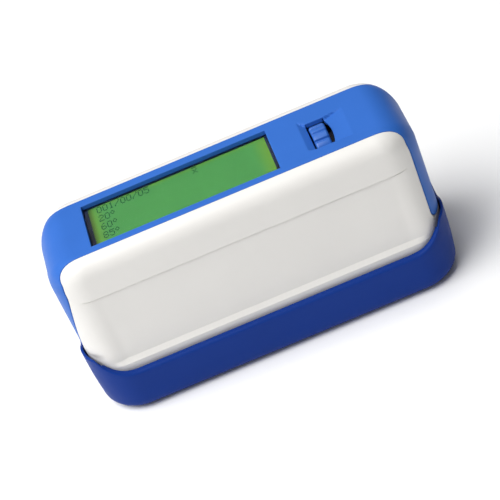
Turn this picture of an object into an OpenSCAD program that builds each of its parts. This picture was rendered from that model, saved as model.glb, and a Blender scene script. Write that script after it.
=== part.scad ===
// Handheld three-angle gloss meter seated in its calibration holder.
// X runs along the length, Y from front (-) to rear (+), Z up from the holder's feet.

/* [Instrument body] */
// Length of the instrument
body_length = 155; // [150:1:165]
// Depth of the instrument, front to rear
body_depth = 48; // [48:0.5:52]
// Height of the instrument's underside above the table
body_base = 5.3; // [5.2:0.1:6]
// Height of the instrument's top above the table
body_top = 78; // [78:0.5:82]
// Radius of the upright corners, seen from above
plan_radius = 15; // [12:0.5:18]
// Radius of the two top corners, seen from the front
end_radius = 13.5; // [10:0.5:16]
// Radius of the shoulders between the top and the long sides
shoulder_radius = 6.8; // [5:0.1:8]
// Wall thickness of the white shells
shell_wall = 2.6; // [2.2:0.1:3]
// Width of the parting gaps between the outside mouldings
seam_gap = 0.3; // [0.2:0.05:0.5]

/* [Grip panels] */
// Depth of the flat grip panels on the front and rear
panel_depth = 0.8; // [0.4:0.1:1]
// Height of the crease at the panels' top edge
panel_top = 60.7; // [58:0.1:62]
// Height at which the ledge below the panels begins
panel_bottom = 26.4; // [25:0.1:30]
// Height at which the ledge reaches the full depth
ledge_bottom = 22.6; // [21:0.1:24]
// Length of the grip panels
panel_length = 134; // [120:1:140]

/* [Top cover] */
// Half of the blue cover's width on top
cover_half_width = 17.5; // [17:0.1:18.5]
// Half of the width of its tongues on the two ends
tongue_half_width = 19.6; // [19:0.1:20.5]
// Height at which the tongues end
tongue_end = 29.6; // [28:0.1:34]
// Wall thickness of the blue cover
cover_wall = 2.2; // [2:0.1:2.4]

/* [Display] */
// Place of the display's centre along the length
display_x = -16; // [-18:0.5:-14]
// Place of the display's centre across the depth
display_y = -0.4; // [-0.5:0.1:0.5]
// Length of the display opening
display_length = 79.4; // [70:0.1:80]
// Width of the display opening
display_width = 27; // [24:0.1:27.5]
// Depth of the window below the cover's top
display_depth = 2; // [1.9:0.1:2.1]

/* [Scroll wheel] */
// Place of the wheel's middle along the length
wheel_x = 43; // [42:0.5:45]
// Place of the wheel's axle across the depth
wheel_y = -2.7; // [-4:0.1:0]
// Radius of the wheel over its ribs
wheel_radius = 10; // [9:0.1:10]
// Width of the wheel
wheel_width = 6.4; // [6:0.1:6.6]
// Height of the wheel above the cover's top
wheel_rise = 1.8; // [1:0.1:2.5]
// Number of grip grooves around the wheel
wheel_grooves = 15; // [12:1:20]
// Travel of the wheel when it is pressed
wheel_travel = 0.6; // [0.4:0.1:0.8]

/* [Operate button] */
// Height of the button on the left end
button_z = 57.5; // [57:0.5:58]
// Radius of the button's cap
button_radius = 5.5; // [5:0.1:6]
// Height of the cap above the end of the body
button_rise = 0.9; // [0.5:0.1:1.2]
// Travel of the button
button_travel = 0.8; // [0.5:0.1:0.9]

/* [Holder] */
// Outside length of the holder
holder_length = 158.4; // [158:0.2:165]
// Outside depth of the holder
holder_depth = 55.2; // [55:0.1:58]
// Height of the rim along the front and rear
rim_height = 20.8; // [19:0.1:22]
// Height of the two upright ends
ear_height = 29.6; // [28:0.1:34]
// Depth of the finger dip in the middle of each upright end
dip_depth = 4.2; // [3:0.1:5]
// Gap between the holder and the instrument
holder_gap = 0.4; // [0.3:0.1:0.5]
// Wall thickness of the upright ends beside the tongues
ear_wall = 1.1; // [1:0.1:1.2]

/* [Optics] */
// Angle of the steep light path from upright
steep_angle = 20; // [20:1:20]
// Angle of the middle light path from upright
middle_angle = 60; // [60:1:60]
// Angle of the shallow light path from upright
shallow_angle = 85; // [85:1:85]

/* [Battery] */
// Radius of the battery cell
cell_radius = 7.1; // [7:0.05:7.2]
// Length of the battery cell without its cap
cell_length = 49.3; // [48.5:0.1:49.3]
// Place of the cell's middle along the length
cell_x = -33; // [-34:0.5:-32]

/* [Hidden] */
$fn = 96;
eps = 0.01;
tiny = 0.05;
far = 300;
cut_margin = 1;

half_length = body_length/2;
half_depth = body_depth/2;
half_seam = seam_gap/2;
bottom_radius = 1.6;

// Colours of the mouldings and of what they hold
shell_white = [0.88, 0.87, 0.85];
cover_blue = [0.16, 0.36, 0.80];
holder_blue = [0.12, 0.27, 0.66];
board_green = [0.10, 0.36, 0.20];
screen_green = [0.34, 0.62, 0.28];
dark_plastic = [0.08, 0.08, 0.09];
black_rubber = [0.05, 0.05, 0.05];
black_glass = [0.02, 0.02, 0.03];
clear_glass = [0.80, 0.88, 0.90, 0.4];
bare_metal = [0.72, 0.73, 0.75];
spring_steel = [0.60, 0.60, 0.62];
cell_wrap = [0.75, 0.55, 0.15];
lamp_yellow = [0.95, 0.90, 0.70];
nickel = [0.78, 0.76, 0.70];

// Holder
holder_floor_low = 0.6;
holder_floor_top = 3.2;
holder_radius = 17.6;
holder_low_radius = 5;
cavity_length = body_length + 2*holder_gap;
cavity_depth = body_depth + 2*holder_gap;
cavity_radius = plan_radius + holder_gap;
ear_recess_half = 22.8;
ear_recess_low = 24;
sweep_radius = 18.8;
sweep_inset = 1.6;
sweep_half = holder_length/2 - sweep_inset;
dip_radius = 16.5;
rest_rib_size = [3, 34, 1.95];
rest_rib_x = 68;
foot_radius = 5;
foot_height = 1.2;
foot_sink = 0.6;
foot_x = 66;
foot_y = 15;

// Calibration tile in the holder's floor
tile_size = [80, 24, 2.9];
tile_top = 5;
tile_recess_low = 1.4;
tile_gap = 0.3;
pad_height = 0.6;
tile_frame_size = [94, 38, 1.6];
tile_frame_radius = 4;
tile_pilot = 1.6;
tile_screw_reach = 2.2;
tile_screw_x = 43.6;
tile_screw_y = 15.6;

// Screws
screw_sides = 48;
slot_share = [1.3, 0.3, 0.5];
small_shank = 0.8;
small_head = 1.6;
small_head_height = 0.7;
housing_shank = 1.4;
housing_head = 2.7;
housing_head_height = 1.8;
housing_reach = 20;
housing_boss = 4;
boss_inset = shell_wall - 0.1;
housing_x = 68;
housing_low_z = 17;
housing_high_z = 37;
housing_seat_y = 12;
housing_pilot_y = -9;

// Where the cover widens from its strip to its tongues
tongue_top = body_top - end_radius + 4;
strip_overlap = 10;
tongue_reach = 29;

// Cover bosses and chassis
boss_radius = 2.8;
boss_pilot = 9;
cover_screw_reach = 7;
boss_places = [[-66.5, -12], [-66.5, 12], [31.8, -14.5], [31.8, 14.5], [60, -12], [60, 12]];
chassis_low = 62.2;
chassis_height = 1.5;
chassis_size = [140, 39.6];
chassis_radius = 8;
chassis_top = chassis_low + chassis_height;
ribbon_hole = [60, 24];
wheel_hole = [15.5, 20.4];
wheel_hole_shift = 1.4;

// Display stack, from the window down
window_top = body_top - display_depth;
window_height = 0.5;
window_lap = 1.5;
window_fit = 0.1;
window_size = [display_length + 2*window_lap, display_width + 2*window_lap, window_height];
window_pocket = [window_size[0] + 2*window_fit, window_size[1] + 2*window_fit];
window_low = window_top - window_height;
pocket_height = 1;
bezel_height = 0.25;
bezel_gap = 0.1;
bezel_top = window_low - bezel_gap;
panel_size = [84, 30.4, 2.6];
panel_glass_top = bezel_top - bezel_height - bezel_gap;
backlight_size = [84, 30.4, 2.6];
backlight_top = panel_glass_top - panel_size[2] - bezel_gap;
frame_wall = 1;
panel_fit = 0.3;
frame_inner = [panel_size[0] + 2*panel_fit, panel_size[1] + 2*panel_fit];
frame_outer = [frame_inner[0] + 2*frame_wall, frame_inner[1] + 2*frame_wall];
view_margin_left = 1.9;
view_margin_right = 1.3;
view_margin_side = 0.5;
frame_view = [display_length - view_margin_left - view_margin_right,
    display_width - 2*view_margin_side];
view_x = display_x + (view_margin_left - view_margin_right)/2;
frame_low = backlight_top - backlight_size[2];
display_board_height = 1.2;
board_gap = 0.2;
display_board_top = frame_low - board_gap;
display_board_size = [88, 34, display_board_height];

// Main board below the chassis
main_board_top = 61.8;
main_board_height = 1.4;
main_board_size = [92, 37, main_board_height];
main_board_x = -16;
head_clearance = 0.5;
board_chip_sizes = [[14, 14, 1.2], [9, 9, 1], [7, 5, 1.4], [5, 4, 1]];
board_chip_places = [[-22, -9], [2, -9], [16, 4], [16, -12]];

// Wheel and what carries it
wheel_z = body_top + wheel_rise - wheel_radius;
groove_phase = 6.5;
slot_width = 7.4;
slot_length = 17.8;
groove_radius = 0.8;
groove_outset = 0.1;
axle_radius = 1.5;
axle_fit = 0.05;
axle_inset = 0.2;
encoder_back = 1;
cheek_thickness = 1.2;
cheek_gap = 0.35;
cheek_inner = wheel_width/2 + cheek_gap;
cheek_outer = cheek_inner + cheek_thickness;
cheek_depth = 8;
cheek_top = wheel_z + 3.4;
carrier_low = 57.6;
carrier_floor = 1.5;
carrier_depth = 14.4;
bracket_gap = 0.35;
bracket_wall = 1.2;
bracket_low = 54.2;
bracket_floor = 1;
bracket_top = 62.15;
wheel_board_height = 1.4;
wheel_board_size = [22, 24, wheel_board_height];
encoder_size = [3, 8, 8];
leaf_length = 4.2;
leaf_width = 3;
leaf_thickness = 0.25;
switch_body = [4, 4, 1];
leaf_rise = 12;
leaf_place = 4.4;
switch_plunger_radius = 0.8;
switch_plunger_top = 56.8;
scoop_depth = 1.5;
left_scoop = 3.1;
right_scoop = 8.4;
right_scoop_half = 10.2;

// Button and the board behind it
button_hole = button_radius + 0.35;
flange_lip = 1.2;
flange_radius = button_radius + flange_lip;
flange_height = 1;
end_inner_x = -half_length + cover_wall;
flange_x = end_inner_x + 0.25;
stem_radius = 1.5;
stem_rise = 1;
edge_taper = 0.4;
edge_height = 0.6;
flange_lap = 0.5;
side_board_x = -68.9;
side_board_height = 1.4;
side_board_size = [side_board_height, 26, 18.6];
side_board_z = 42.4;
tact_body = [2, 6, 6];
tact_plunger_radius = 1.6;
tact_plunger_reach = 0.9;
usb_z = 46.4;
usb_size = [7.4, 8.4, 3.2];
usb_wall = 0.35;
usb_tongue = [5, 5.6, 0.7];
usb_tongue_back = 1.5;
usb_front_x = -half_length + 0.5;
usb_opening = [9.4, 4.2];
end_cut = 6;

// Base plate
base_height = 2.4;
base_gap = 0.25;
aperture_length = 66;
aperture_width = 14;
base_screw_x = 50;
base_screw_y = 6.2;
base_shank = 1.1;
base_head = 2.2;
base_head_height = 1.2;
base_screw_reach = 8;

// Optics
spot_z = tile_top;
block_low = 7.8;
block_half_depth = 9;
block_outline = [[-62, block_low], [62, block_low], [62, 17], [46, 34], [30, 42],
    [-30, 42], [-46, 34], [-62, 17]];
wide_bore = 3.5;
narrow_bore = 1.6;
bore_reach = 80;
lens_fit = 0.1;
wide_lens_height = 2;
narrow_lens_height = 1.5;
steep_lens_at = 26;
middle_lens_at = 36;
shallow_lens_at = 51;
steep_lamp_at = 34;
middle_lamp_at = 47;
shallow_lamp_at = 54;
lamp_length = 8;
detector_length = 3;
lamp_flange = 0.9;
lamp_nose = 2;
lamp_nose_share = 0.6;
window_share = 0.5;
pilot_margin = 3;

// Battery bay
cell_y = 13.3;
cell_z = 50.6;
cap_radius = 2.7;
cap_height = 1.2;
bay_low = 42.8;
bay_high = 58.4;
bay_length = 57.6;
tray_wall = 0.9;
tray_back_y = 5.2;
tray_front_y = 20.4;
plate_height = 11;
plate_thickness = 0.4;
coil_wire = 0.35;
coil_radius = 3.2;
coil_plate_radius = 4.4;
coil_turns = 5;
coil_shrink = 0.2;
coil_pitch = 0.86;
spring_reach = 4.8;
cell_middle = cell_x + bay_length/2 - tray_wall - spring_reach - cell_length/2;

// Battery door, hinged along its lower edge
door_length = 57;
door_thickness = 2;
door_y = half_depth - panel_depth - door_thickness/2;
door_hinge_z = 43.6;
door_top_z = 58.1;
door_gap = 0.4;
knuckle_radius = door_thickness/2;
pin_radius = 0.5;
pin_reach = 2;
pin_fit = 0.05;
finger_notch = [14, 1.2, 2];

// ---- shared outlines -------------------------------------------------

// A flat rounded rectangle, centred.
module rounded(size, radius) {
    square([size[0], size[1] - 2*radius], center = true);
    square([size[0] - 2*radius, size[1]], center = true);
    for (sx = [-1, 1], sy = [-1, 1])
        translate([sx*(size[0]/2 - radius), sy*(size[1]/2 - radius)])
            circle(radius);
}

// An upright outline with its own radii at the top and at the bottom.
module upright(width, low, high, low_radius, high_radius) {
    translate([-width/2, low + low_radius])
        square([width, high - low - low_radius - high_radius]);
    for (side = [[low, low_radius, 0], [high, high_radius, 1]]) {
        inner = width - 2*side[1];
        translate([-inner/2, side[0] - side[2]*side[1]])
            square([inner, side[1]]);
        for (sx = [-1, 1])
            translate([sx*inner/2, side[0] + (1 - 2*side[2])*side[1]])
                circle(side[1]);
    }
}

// A rounded plate standing on a given height.
module plate(size, radius, low, height) {
    translate([0, 0, low])
        linear_extrude(height)
            rounded(size, radius);
}

// A block centred on a point in plan, standing on a given height.
module block(size, x, y, low) {
    translate([x - size[0]/2, y - size[1]/2, low])
        cube(size);
}

module along_x(length) {
    rotate([90, 0, 90])
        linear_extrude(length, center = true)
            children();
}

module along_y(length) {
    rotate([90, 0, 0])
        linear_extrude(length, center = true)
            children();
}

// The instrument's outer form, set inwards by a given amount.
module body_form(inset, low) {
    intersection() {
        plate([body_length - 2*inset, body_depth - 2*inset], plan_radius - inset, low, far);
        along_y(far)
            upright(body_length - 2*inset, low, body_top - inset, bottom_radius, end_radius - inset);
        along_x(far)
            upright(body_depth - 2*inset, low, body_top - inset, bottom_radius,
                shoulder_radius - inset);
    }
}

// The two flat grip panels with their sloping ledges, as the space they leave.
module panel_recess() {
    face = half_depth - panel_depth;
    for (side = [0, 1])
        mirror([0, side, 0])
            along_x(panel_length)
                polygon([[far, panel_top], [face, panel_top], [face, panel_bottom],
                    [half_depth, ledge_bottom], [far, ledge_bottom]]);
}

// The space that the top cover and its tongues take out of the white shells.
module cover_space(grow) {
    strip_low = tongue_top - strip_overlap;
    block([far, 2*(cover_half_width + grow), far], 0, 0, strip_low);
    for (side = [-1, 1])
        block([tongue_reach, 2*(tongue_half_width + grow), tongue_top - tongue_end + grow],
            side*half_length, 0, tongue_end - grow);
}

module shell_wall_form() {
    difference() {
        body_form(0, body_base);
        body_form(shell_wall, body_base - bottom_radius - cut_margin);
        panel_recess();
        cover_space(seam_gap);
    }
}

// Places of the four bosses that join the two shells.
module at_housing_bosses() {
    for (x = [-housing_x, housing_x], z = [housing_low_z, housing_high_z])
        translate([x, 0, z])
            rotate([-90, 0, 0])
                children();
}

// A light path from the measured spot, leaning from upright by an angle.
module on_path(angle) {
    translate([0, 0, spot_z])
        rotate([0, angle, 0])
            children();
}

// ---- holder ----------------------------------------------------------

module holder_outer() {
    intersection() {
        plate([holder_length, holder_depth], holder_radius, holder_floor_low, far);
        along_y(far)
            upright(holder_length, holder_floor_low, ear_height, holder_low_radius, tiny);
        along_x(far)
            upright(holder_depth, holder_floor_low, ear_height, holder_low_radius, tiny);
    }
}

// The rim dips from the upright ends to the low front and rear in two sweeps.
module rim_sweep() {
    along_y(far)
        upright(2*sweep_half, rim_height, ear_height + 2*sweep_radius, sweep_radius, tiny);
}

// A round finger dip across the middle of both ends.
module finger_dip() {
    along_x(far)
        translate([0, ear_height - dip_depth + dip_radius])
            circle(dip_radius);
}

module ear_recess() {
    intersection() {
        plate([holder_length - 2*ear_wall, holder_depth - 2*ear_wall], holder_radius - ear_wall,
            ear_recess_low, far);
        block([far, 2*ear_recess_half, far], 0, 0, ear_recess_low);
    }
}

module holder_shell() color(holder_blue) {
    difference() {
        holder_outer();
        plate([cavity_length, cavity_depth], cavity_radius, holder_floor_top, far);
        rim_sweep();
        finger_dip();
        ear_recess();
        block([tile_size[0] + 2*tile_gap, tile_size[1] + 2*tile_gap, far], 0, 0, tile_recess_low);
        for (x = [-foot_x, foot_x], y = [-foot_y, foot_y])
            translate([x, y, 0])
                cylinder(r = foot_radius + tiny, h = holder_floor_low + foot_sink);
        for (x = [-tile_screw_x, tile_screw_x], y = [-tile_screw_y, tile_screw_y])
            translate([x, y, holder_floor_top - tile_pilot])
                cylinder(r = small_shank + tiny, h = far, $fn = screw_sides);
    }
    for (side = [-1, 1])
        block(rest_rib_size, side*rest_rib_x, 0, holder_floor_top - tiny);
}

module holder_feet() color(black_rubber) {
    for (x = [-foot_x, foot_x], y = [-foot_y, foot_y])
        translate([x, y, 0])
            cylinder(r = foot_radius, h = foot_height);
}

module tile_pad() color(black_rubber) {
    block([tile_size[0], tile_size[1], pad_height], 0, 0, tile_recess_low);
}

module calibration_tile() color(black_glass) {
    block(tile_size, 0, 0, tile_top - tile_size[2]);
}

module tile_frame() color(dark_plastic) {
    frame_base = holder_floor_top + tiny;
    difference() {
        plate(tile_frame_size, tile_frame_radius, frame_base, tile_frame_size[2]);
        block([tile_size[0] + tile_gap, tile_size[1] + tile_gap, far], 0, 0, 0);
        for (x = [-tile_screw_x, tile_screw_x], y = [-tile_screw_y, tile_screw_y])
            translate([x, y, frame_base - cut_margin]) {
                cylinder(r = small_shank + 2*tiny, h = far, $fn = screw_sides);
                translate([0, 0, cut_margin + tile_frame_size[2] - small_head_height - tiny])
                    cylinder(r = small_head + 2*tiny, h = far, $fn = screw_sides);
            }
    }
}

// A pan-head screw with its seat at the origin, shank down, with a cross slot.
module screw(shank, head, head_height, reach) {
    translate([0, 0, -reach])
        cylinder(r = shank, h = reach + eps, $fn = screw_sides);
    difference() {
        cylinder(r = head, h = head_height, $fn = screw_sides);
        for (turn = [0, 90])
            rotate(turn)
                block([slot_share[0]*head, slot_share[1]*head, head_height], 0, 0,
                    slot_share[2]*head_height);
    }
}

module tile_screws() color(bare_metal) {
    seat = holder_floor_top + tile_frame_size[2] - small_head_height;
    for (x = [-tile_screw_x, tile_screw_x], y = [-tile_screw_y, tile_screw_y])
        translate([x, y, seat])
            screw(small_shank, small_head, small_head_height, tile_screw_reach);
}

// ---- instrument housing ----------------------------------------------

module front_shell() color(shell_white) {
    intersection() {
        union() {
            shell_wall_form();
            difference() {
                intersection() {
                    at_housing_bosses()
                        translate([0, 0, -half_depth])
                            cylinder(r = housing_boss, h = half_depth);
                    body_form(boss_inset, body_base);
                }
                at_housing_bosses()
                    translate([0, 0, housing_pilot_y])
                        cylinder(r = housing_shank + tiny, h = far, $fn = screw_sides);
            }
        }
        translate([-far/2, -far - half_seam, 0])
            cube(far);
    }
}

module rear_shell() color(shell_white) {
    intersection() {
        difference() {
            union() {
                shell_wall_form();
                intersection() {
                    at_housing_bosses()
                        cylinder(r = housing_boss, h = half_depth);
                    body_form(boss_inset, body_base);
                }
            }
            at_housing_bosses() {
                cylinder(r = housing_shank + 2*tiny, h = far, $fn = screw_sides);
                translate([0, 0, housing_seat_y])
                    cylinder(r = housing_head + 2*tiny, h = far, $fn = screw_sides);
            }
            translate([cell_x, 0, 0])
                door_opening();
        }
        translate([-far/2, half_seam, 0])
            cube(far);
    }
}

// The battery door's opening, with room for its barrel at the lower edge.
module door_opening() {
    opening_low = door_hinge_z - knuckle_radius - door_gap;
    opening_high = door_top_z + door_gap;
    translate([-door_length/2 - door_gap, half_depth - 2*shell_wall, opening_low])
        cube([door_length + 2*door_gap, far, opening_high - opening_low]);
    translate([0, door_y, door_hinge_z])
        rotate([0, 90, 0])
            cylinder(r = pin_radius, h = door_length + 2*pin_reach, center = true, $fn = screw_sides);
}

module housing_screws() color(bare_metal) {
    at_housing_bosses()
        translate([0, 0, housing_seat_y])
            screw(housing_shank, housing_head, housing_head_height, housing_reach);
}

// The window opening, the wheel's slot and the two thumb scoops beside the slot.
module cover_openings() {
    slot_half = slot_width/2;
    block([display_length, display_width, far], display_x, display_y, window_top - cut_margin);
    block([slot_width, slot_length, far], wheel_x, wheel_y, body_top - 2*cover_wall);
    translate([wheel_x, wheel_y, body_top])
        rotate([90, 0, 0])
            linear_extrude(2*right_scoop_half, center = true)
                polygon([[-slot_half - left_scoop, 0], [-slot_half, -scoop_depth], [0, -scoop_depth],
                    [slot_half, -scoop_depth], [slot_half + right_scoop, 0],
                    [slot_half + right_scoop, cut_margin], [-slot_half - left_scoop, cut_margin]]);
    translate([-half_length - cut_margin, 0, button_z])
        rotate([0, 90, 0])
            cylinder(r = button_hole, h = end_cut);
    translate([-half_length - cut_margin, -usb_opening[0]/2, usb_z - usb_opening[1]/2])
        cube([end_cut, usb_opening[0], usb_opening[1]]);
}

module top_cover() color(cover_blue) {
    difference() {
        union() {
            intersection() {
                difference() {
                    body_form(0, body_base);
                    body_form(cover_wall, body_base - bottom_radius - cut_margin);
                }
                cover_space(0);
            }
            for (place = boss_places)
                translate([place[0], place[1], chassis_top])
                    cylinder(r = boss_radius, h = body_top - cover_wall - chassis_top + tiny);
        }
        cover_openings();
        block([window_pocket[0], window_pocket[1], pocket_height], display_x, display_y,
            window_top - pocket_height);
        for (place = boss_places)
            translate([place[0], place[1], chassis_top - cut_margin])
                cylinder(r = small_shank + tiny, h = boss_pilot, $fn = screw_sides);
    }
}

module base_plate() color(dark_plastic) {
    inset = shell_wall + base_gap;
    difference() {
        plate([body_length - 2*inset, body_depth - 2*inset], plan_radius - inset, body_base,
            base_height);
        block([aperture_length, aperture_width, far], 0, 0, 0);
        for (x = [-base_screw_x, base_screw_x], y = [-base_screw_y, base_screw_y])
            translate([x, y, 0]) {
                cylinder(r = base_shank + 2*tiny, h = far, $fn = screw_sides);
                cylinder(r = base_head + 2*tiny, h = body_base + base_head_height, $fn = screw_sides);
            }
    }
}

module base_screws() color(bare_metal) {
    for (x = [-base_screw_x, base_screw_x], y = [-base_screw_y, base_screw_y])
        translate([x, y, body_base + base_head_height])
            rotate([180, 0, 0])
                screw(base_shank, base_head, base_head_height - tiny, base_screw_reach);
}

module chassis() color(dark_plastic) {
    difference() {
        plate(chassis_size, chassis_radius, chassis_low, chassis_height);
        block([wheel_hole[0], wheel_hole[1], far], wheel_x + wheel_hole_shift, wheel_y, 0);
        block([ribbon_hole[0], ribbon_hole[1], far], display_x, 0, 0);
        for (place = boss_places)
            translate([place[0], place[1], 0])
                cylinder(r = small_shank + 2*tiny, h = far, $fn = screw_sides);
    }
}

module chassis_screws() color(bare_metal) {
    for (place = boss_places)
        translate([place[0], place[1], chassis_low - tiny])
            rotate([180, 0, 0])
                screw(small_shank, small_head, small_head_height, cover_screw_reach);
}

// ---- display ---------------------------------------------------------

module display_window() color(clear_glass) {
    block(window_size, display_x, display_y, window_low - tiny);
}

module display_frame() color(dark_plastic) {
    difference() {
        block([frame_outer[0], frame_outer[1], bezel_top - frame_low], display_x, display_y, frame_low);
        block([frame_inner[0], frame_inner[1], bezel_top - bezel_height - frame_low + eps], display_x,
            display_y, frame_low - eps);
        block([frame_view[0], frame_view[1], far], view_x, display_y, frame_low);
    }
}

module display_panel() color(screen_green) {
    block(panel_size, display_x, display_y, panel_glass_top - panel_size[2]);
}

module display_backlight() color(lamp_yellow) {
    block(backlight_size, display_x, display_y, backlight_top - backlight_size[2] + tiny);
}

module display_board() color(board_green) {
    block(display_board_size, display_x, display_y, display_board_top - display_board_height);
}

// ---- boards ----------------------------------------------------------

module main_board() color(board_green) {
    difference() {
        block(main_board_size, main_board_x, 0, main_board_top - main_board_height);
        for (place = boss_places)
            translate([place[0], place[1], 0])
                cylinder(r = small_head + head_clearance, h = far, $fn = screw_sides);
    }
}

module board_components() color(dark_plastic) {
    board_low = main_board_top - main_board_height;
    for (i = [0 : len(board_chip_sizes) - 1])
        block(board_chip_sizes[i], board_chip_places[i][0], board_chip_places[i][1],
            board_low - board_chip_sizes[i][2] - eps);
}

module side_board() color(board_green) {
    block(side_board_size, side_board_x + side_board_height/2, 0, side_board_z);
}

module usb_socket() color(bare_metal) {
    usb_length = side_board_x - usb_front_x - eps;
    difference() {
        translate([usb_front_x, -usb_size[1]/2, usb_z - usb_size[2]/2])
            cube([usb_length, usb_size[1], usb_size[2]]);
        translate([usb_front_x - cut_margin, -usb_size[1]/2 + usb_wall,
            usb_z - usb_size[2]/2 + usb_wall])
            cube([usb_length - cut_margin, usb_size[1] - 2*usb_wall, usb_size[2] - 2*usb_wall]);
    }
    translate([side_board_x - usb_tongue[0] - usb_tongue_back, -usb_tongue[1]/2,
        usb_z - usb_tongue[2]/2])
        cube(usb_tongue);
}

module operate_switch() color(dark_plastic) {
    face = side_board_x - tact_body[0] - eps;
    translate([face, -tact_body[1]/2, button_z - tact_body[2]/2])
        cube(tact_body);
    translate([face - tact_plunger_reach, 0, button_z])
        rotate([0, 90, 0])
            cylinder(r = tact_plunger_radius, h = tact_plunger_reach + eps);
}

// ---- optics ----------------------------------------------------------

module optics_block() color(dark_plastic) {
    difference() {
        along_y(2*block_half_depth)
            polygon(block_outline);
        for (side = [-1, 1]) {
            on_path(side*steep_angle)
                cylinder(r = wide_bore, h = bore_reach);
            on_path(side*middle_angle)
                cylinder(r = wide_bore, h = bore_reach);
            on_path(side*shallow_angle)
                cylinder(r = narrow_bore, h = bore_reach);
        }
        for (x = [-base_screw_x, base_screw_x], y = [-base_screw_y, base_screw_y])
            translate([x, y, 0])
                cylinder(r = base_shank + tiny, h = body_base + base_screw_reach + pilot_margin,
                    $fn = screw_sides);
    }
}

// A lamp: a narrow nose, a round body that fills the bore, and a stub for its leads.
module lamp(angle, at, radius) {
    on_path(angle)
        translate([0, 0, at]) {
            cylinder(r = lamp_nose_share*radius, h = lamp_length - lamp_nose);
            translate([0, 0, lamp_nose])
                cylinder(r = radius - lens_fit, h = lamp_length - lamp_nose);
            translate([0, 0, lamp_length])
                cylinder(r = window_share*radius, h = lamp_flange);
        }
}

module lamp_20() color(lamp_yellow) lamp(-steep_angle, steep_lamp_at, wide_bore);

module lamp_60() color(lamp_yellow) lamp(-middle_angle, middle_lamp_at, wide_bore);

module lamp_85() color(lamp_yellow) lamp(-shallow_angle, shallow_lamp_at, narrow_bore);

// A plano-convex lens: a short cylinder with a domed face.
module lens(angle, at, radius, height) {
    rim = radius - lens_fit;
    ball = 2*radius;
    on_path(angle)
        translate([0, 0, at])
            intersection() {
                cylinder(r = rim, h = height);
                translate([0, 0, height - ball])
                    sphere(r = ball);
            }
}

module lens_set(side) {
    lens(side*steep_angle, steep_lens_at, wide_bore, wide_lens_height);
    lens(side*middle_angle, middle_lens_at, wide_bore, wide_lens_height);
    lens(side*shallow_angle, shallow_lens_at, narrow_bore, narrow_lens_height);
}

module source_lenses() color(clear_glass) lens_set(-1);

module receiver_lenses() color(clear_glass) lens_set(1);

module detector(angle, at, radius) {
    on_path(angle)
        translate([0, 0, at + lamp_length - detector_length]) {
            cylinder(r = radius - lens_fit, h = detector_length);
            translate([0, 0, -lamp_flange/2])
                cylinder(r = window_share*radius, h = lamp_flange);
        }
}

module detector_20() color(bare_metal) detector(steep_angle, steep_lamp_at, wide_bore);

module detector_60() color(bare_metal) detector(middle_angle, middle_lamp_at, wide_bore);

module detector_85() color(bare_metal) detector(shallow_angle, shallow_lamp_at, narrow_bore);

// ---- battery ---------------------------------------------------------

module battery_tray() color(dark_plastic) {
    difference() {
        translate([cell_x - bay_length/2, tray_back_y, bay_low])
            cube([bay_length, tray_front_y - tray_back_y, bay_high - bay_low]);
        translate([cell_x - bay_length/2 + tray_wall, tray_back_y + tray_wall, bay_low + tray_wall/2])
            cube([bay_length - 2*tray_wall, far, bay_high - bay_low - tray_wall]);
    }
}

module battery_cell() color(cell_wrap) {
    translate([cell_middle, cell_y, cell_z])
        rotate([0, -90, 0]) {
            cylinder(r = cell_radius, h = cell_length, center = true);
            cylinder(r = cap_radius, h = cell_length/2 + cap_height);
        }
}

module contact_plate() color(nickel) {
    block([plate_thickness, plate_height, plate_height],
        cell_x - bay_length/2 + tray_wall + plate_thickness/2 + tiny, cell_y, cell_z - plate_height/2);
}

// A coil drawn as flat rings joined by short ties, between the cell and its plate.
module contact_spring() color(nickel) {
    wall_x = cell_x + bay_length/2 - tray_wall;
    translate([wall_x - tiny, cell_y, cell_z])
        rotate([0, -90, 0]) {
            cylinder(r = coil_plate_radius, h = plate_thickness);
            for (turn = [1 : coil_turns])
                translate([0, 0, turn*coil_pitch])
                    coil_ring(coil_radius - coil_shrink*turn);
            for (turn = [0 : coil_turns - 1])
                rotate(turn*180)
                    translate([coil_radius - coil_shrink*(turn + 1) - 2*coil_wire, -coil_wire, 0])
                        translate([0, 0, plate_thickness/2 + turn*coil_pitch])
                            cube([1.5*coil_wire, 2*coil_wire, coil_pitch]);
        }
}

module coil_ring(radius) {
    linear_extrude(coil_wire)
        difference() {
            circle(radius);
            circle(radius - 2*coil_wire);
        }
}

module battery_door() color(shell_white) {
    difference() {
        union() {
            translate([cell_x - door_length/2, door_y - door_thickness/2, door_hinge_z])
                cube([door_length, door_thickness, door_top_z - door_hinge_z]);
            translate([cell_x, door_y, door_hinge_z])
                rotate([0, 90, 0])
                    cylinder(r = knuckle_radius, h = door_length, center = true);
        }
        translate([cell_x - finger_notch[0]/2, door_y + door_thickness/2 - finger_notch[1],
            door_top_z - finger_notch[2]])
            cube([finger_notch[0], far, far]);
        translate([cell_x, door_y, door_hinge_z])
            rotate([0, 90, 0])
                cylinder(r = pin_radius + pin_fit, h = far, center = true, $fn = screw_sides);
    }
}

module door_pin() color(bare_metal) {
    translate([cell_x, door_y, door_hinge_z])
        rotate([0, 90, 0])
            cylinder(r = pin_radius, h = door_length + 2*pin_reach - 4*tiny, center = true,
                $fn = screw_sides);
}

// ---- scroll wheel ----------------------------------------------------

module wheel_board() color(board_green) {
    block(wheel_board_size, wheel_x, wheel_y, bracket_low - wheel_board_height - eps);
}

module wheel_bracket() color(dark_plastic) {
    inner = [2*cheek_outer + 2*bracket_gap, carrier_depth + 2*bracket_gap];
    difference() {
        block([inner[0] + 2*bracket_wall, inner[1] + 2*bracket_wall, bracket_top - bracket_low],
            wheel_x, wheel_y, bracket_low);
        block([inner[0], inner[1], far], wheel_x, wheel_y, bracket_low + bracket_floor);
    }
}

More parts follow.
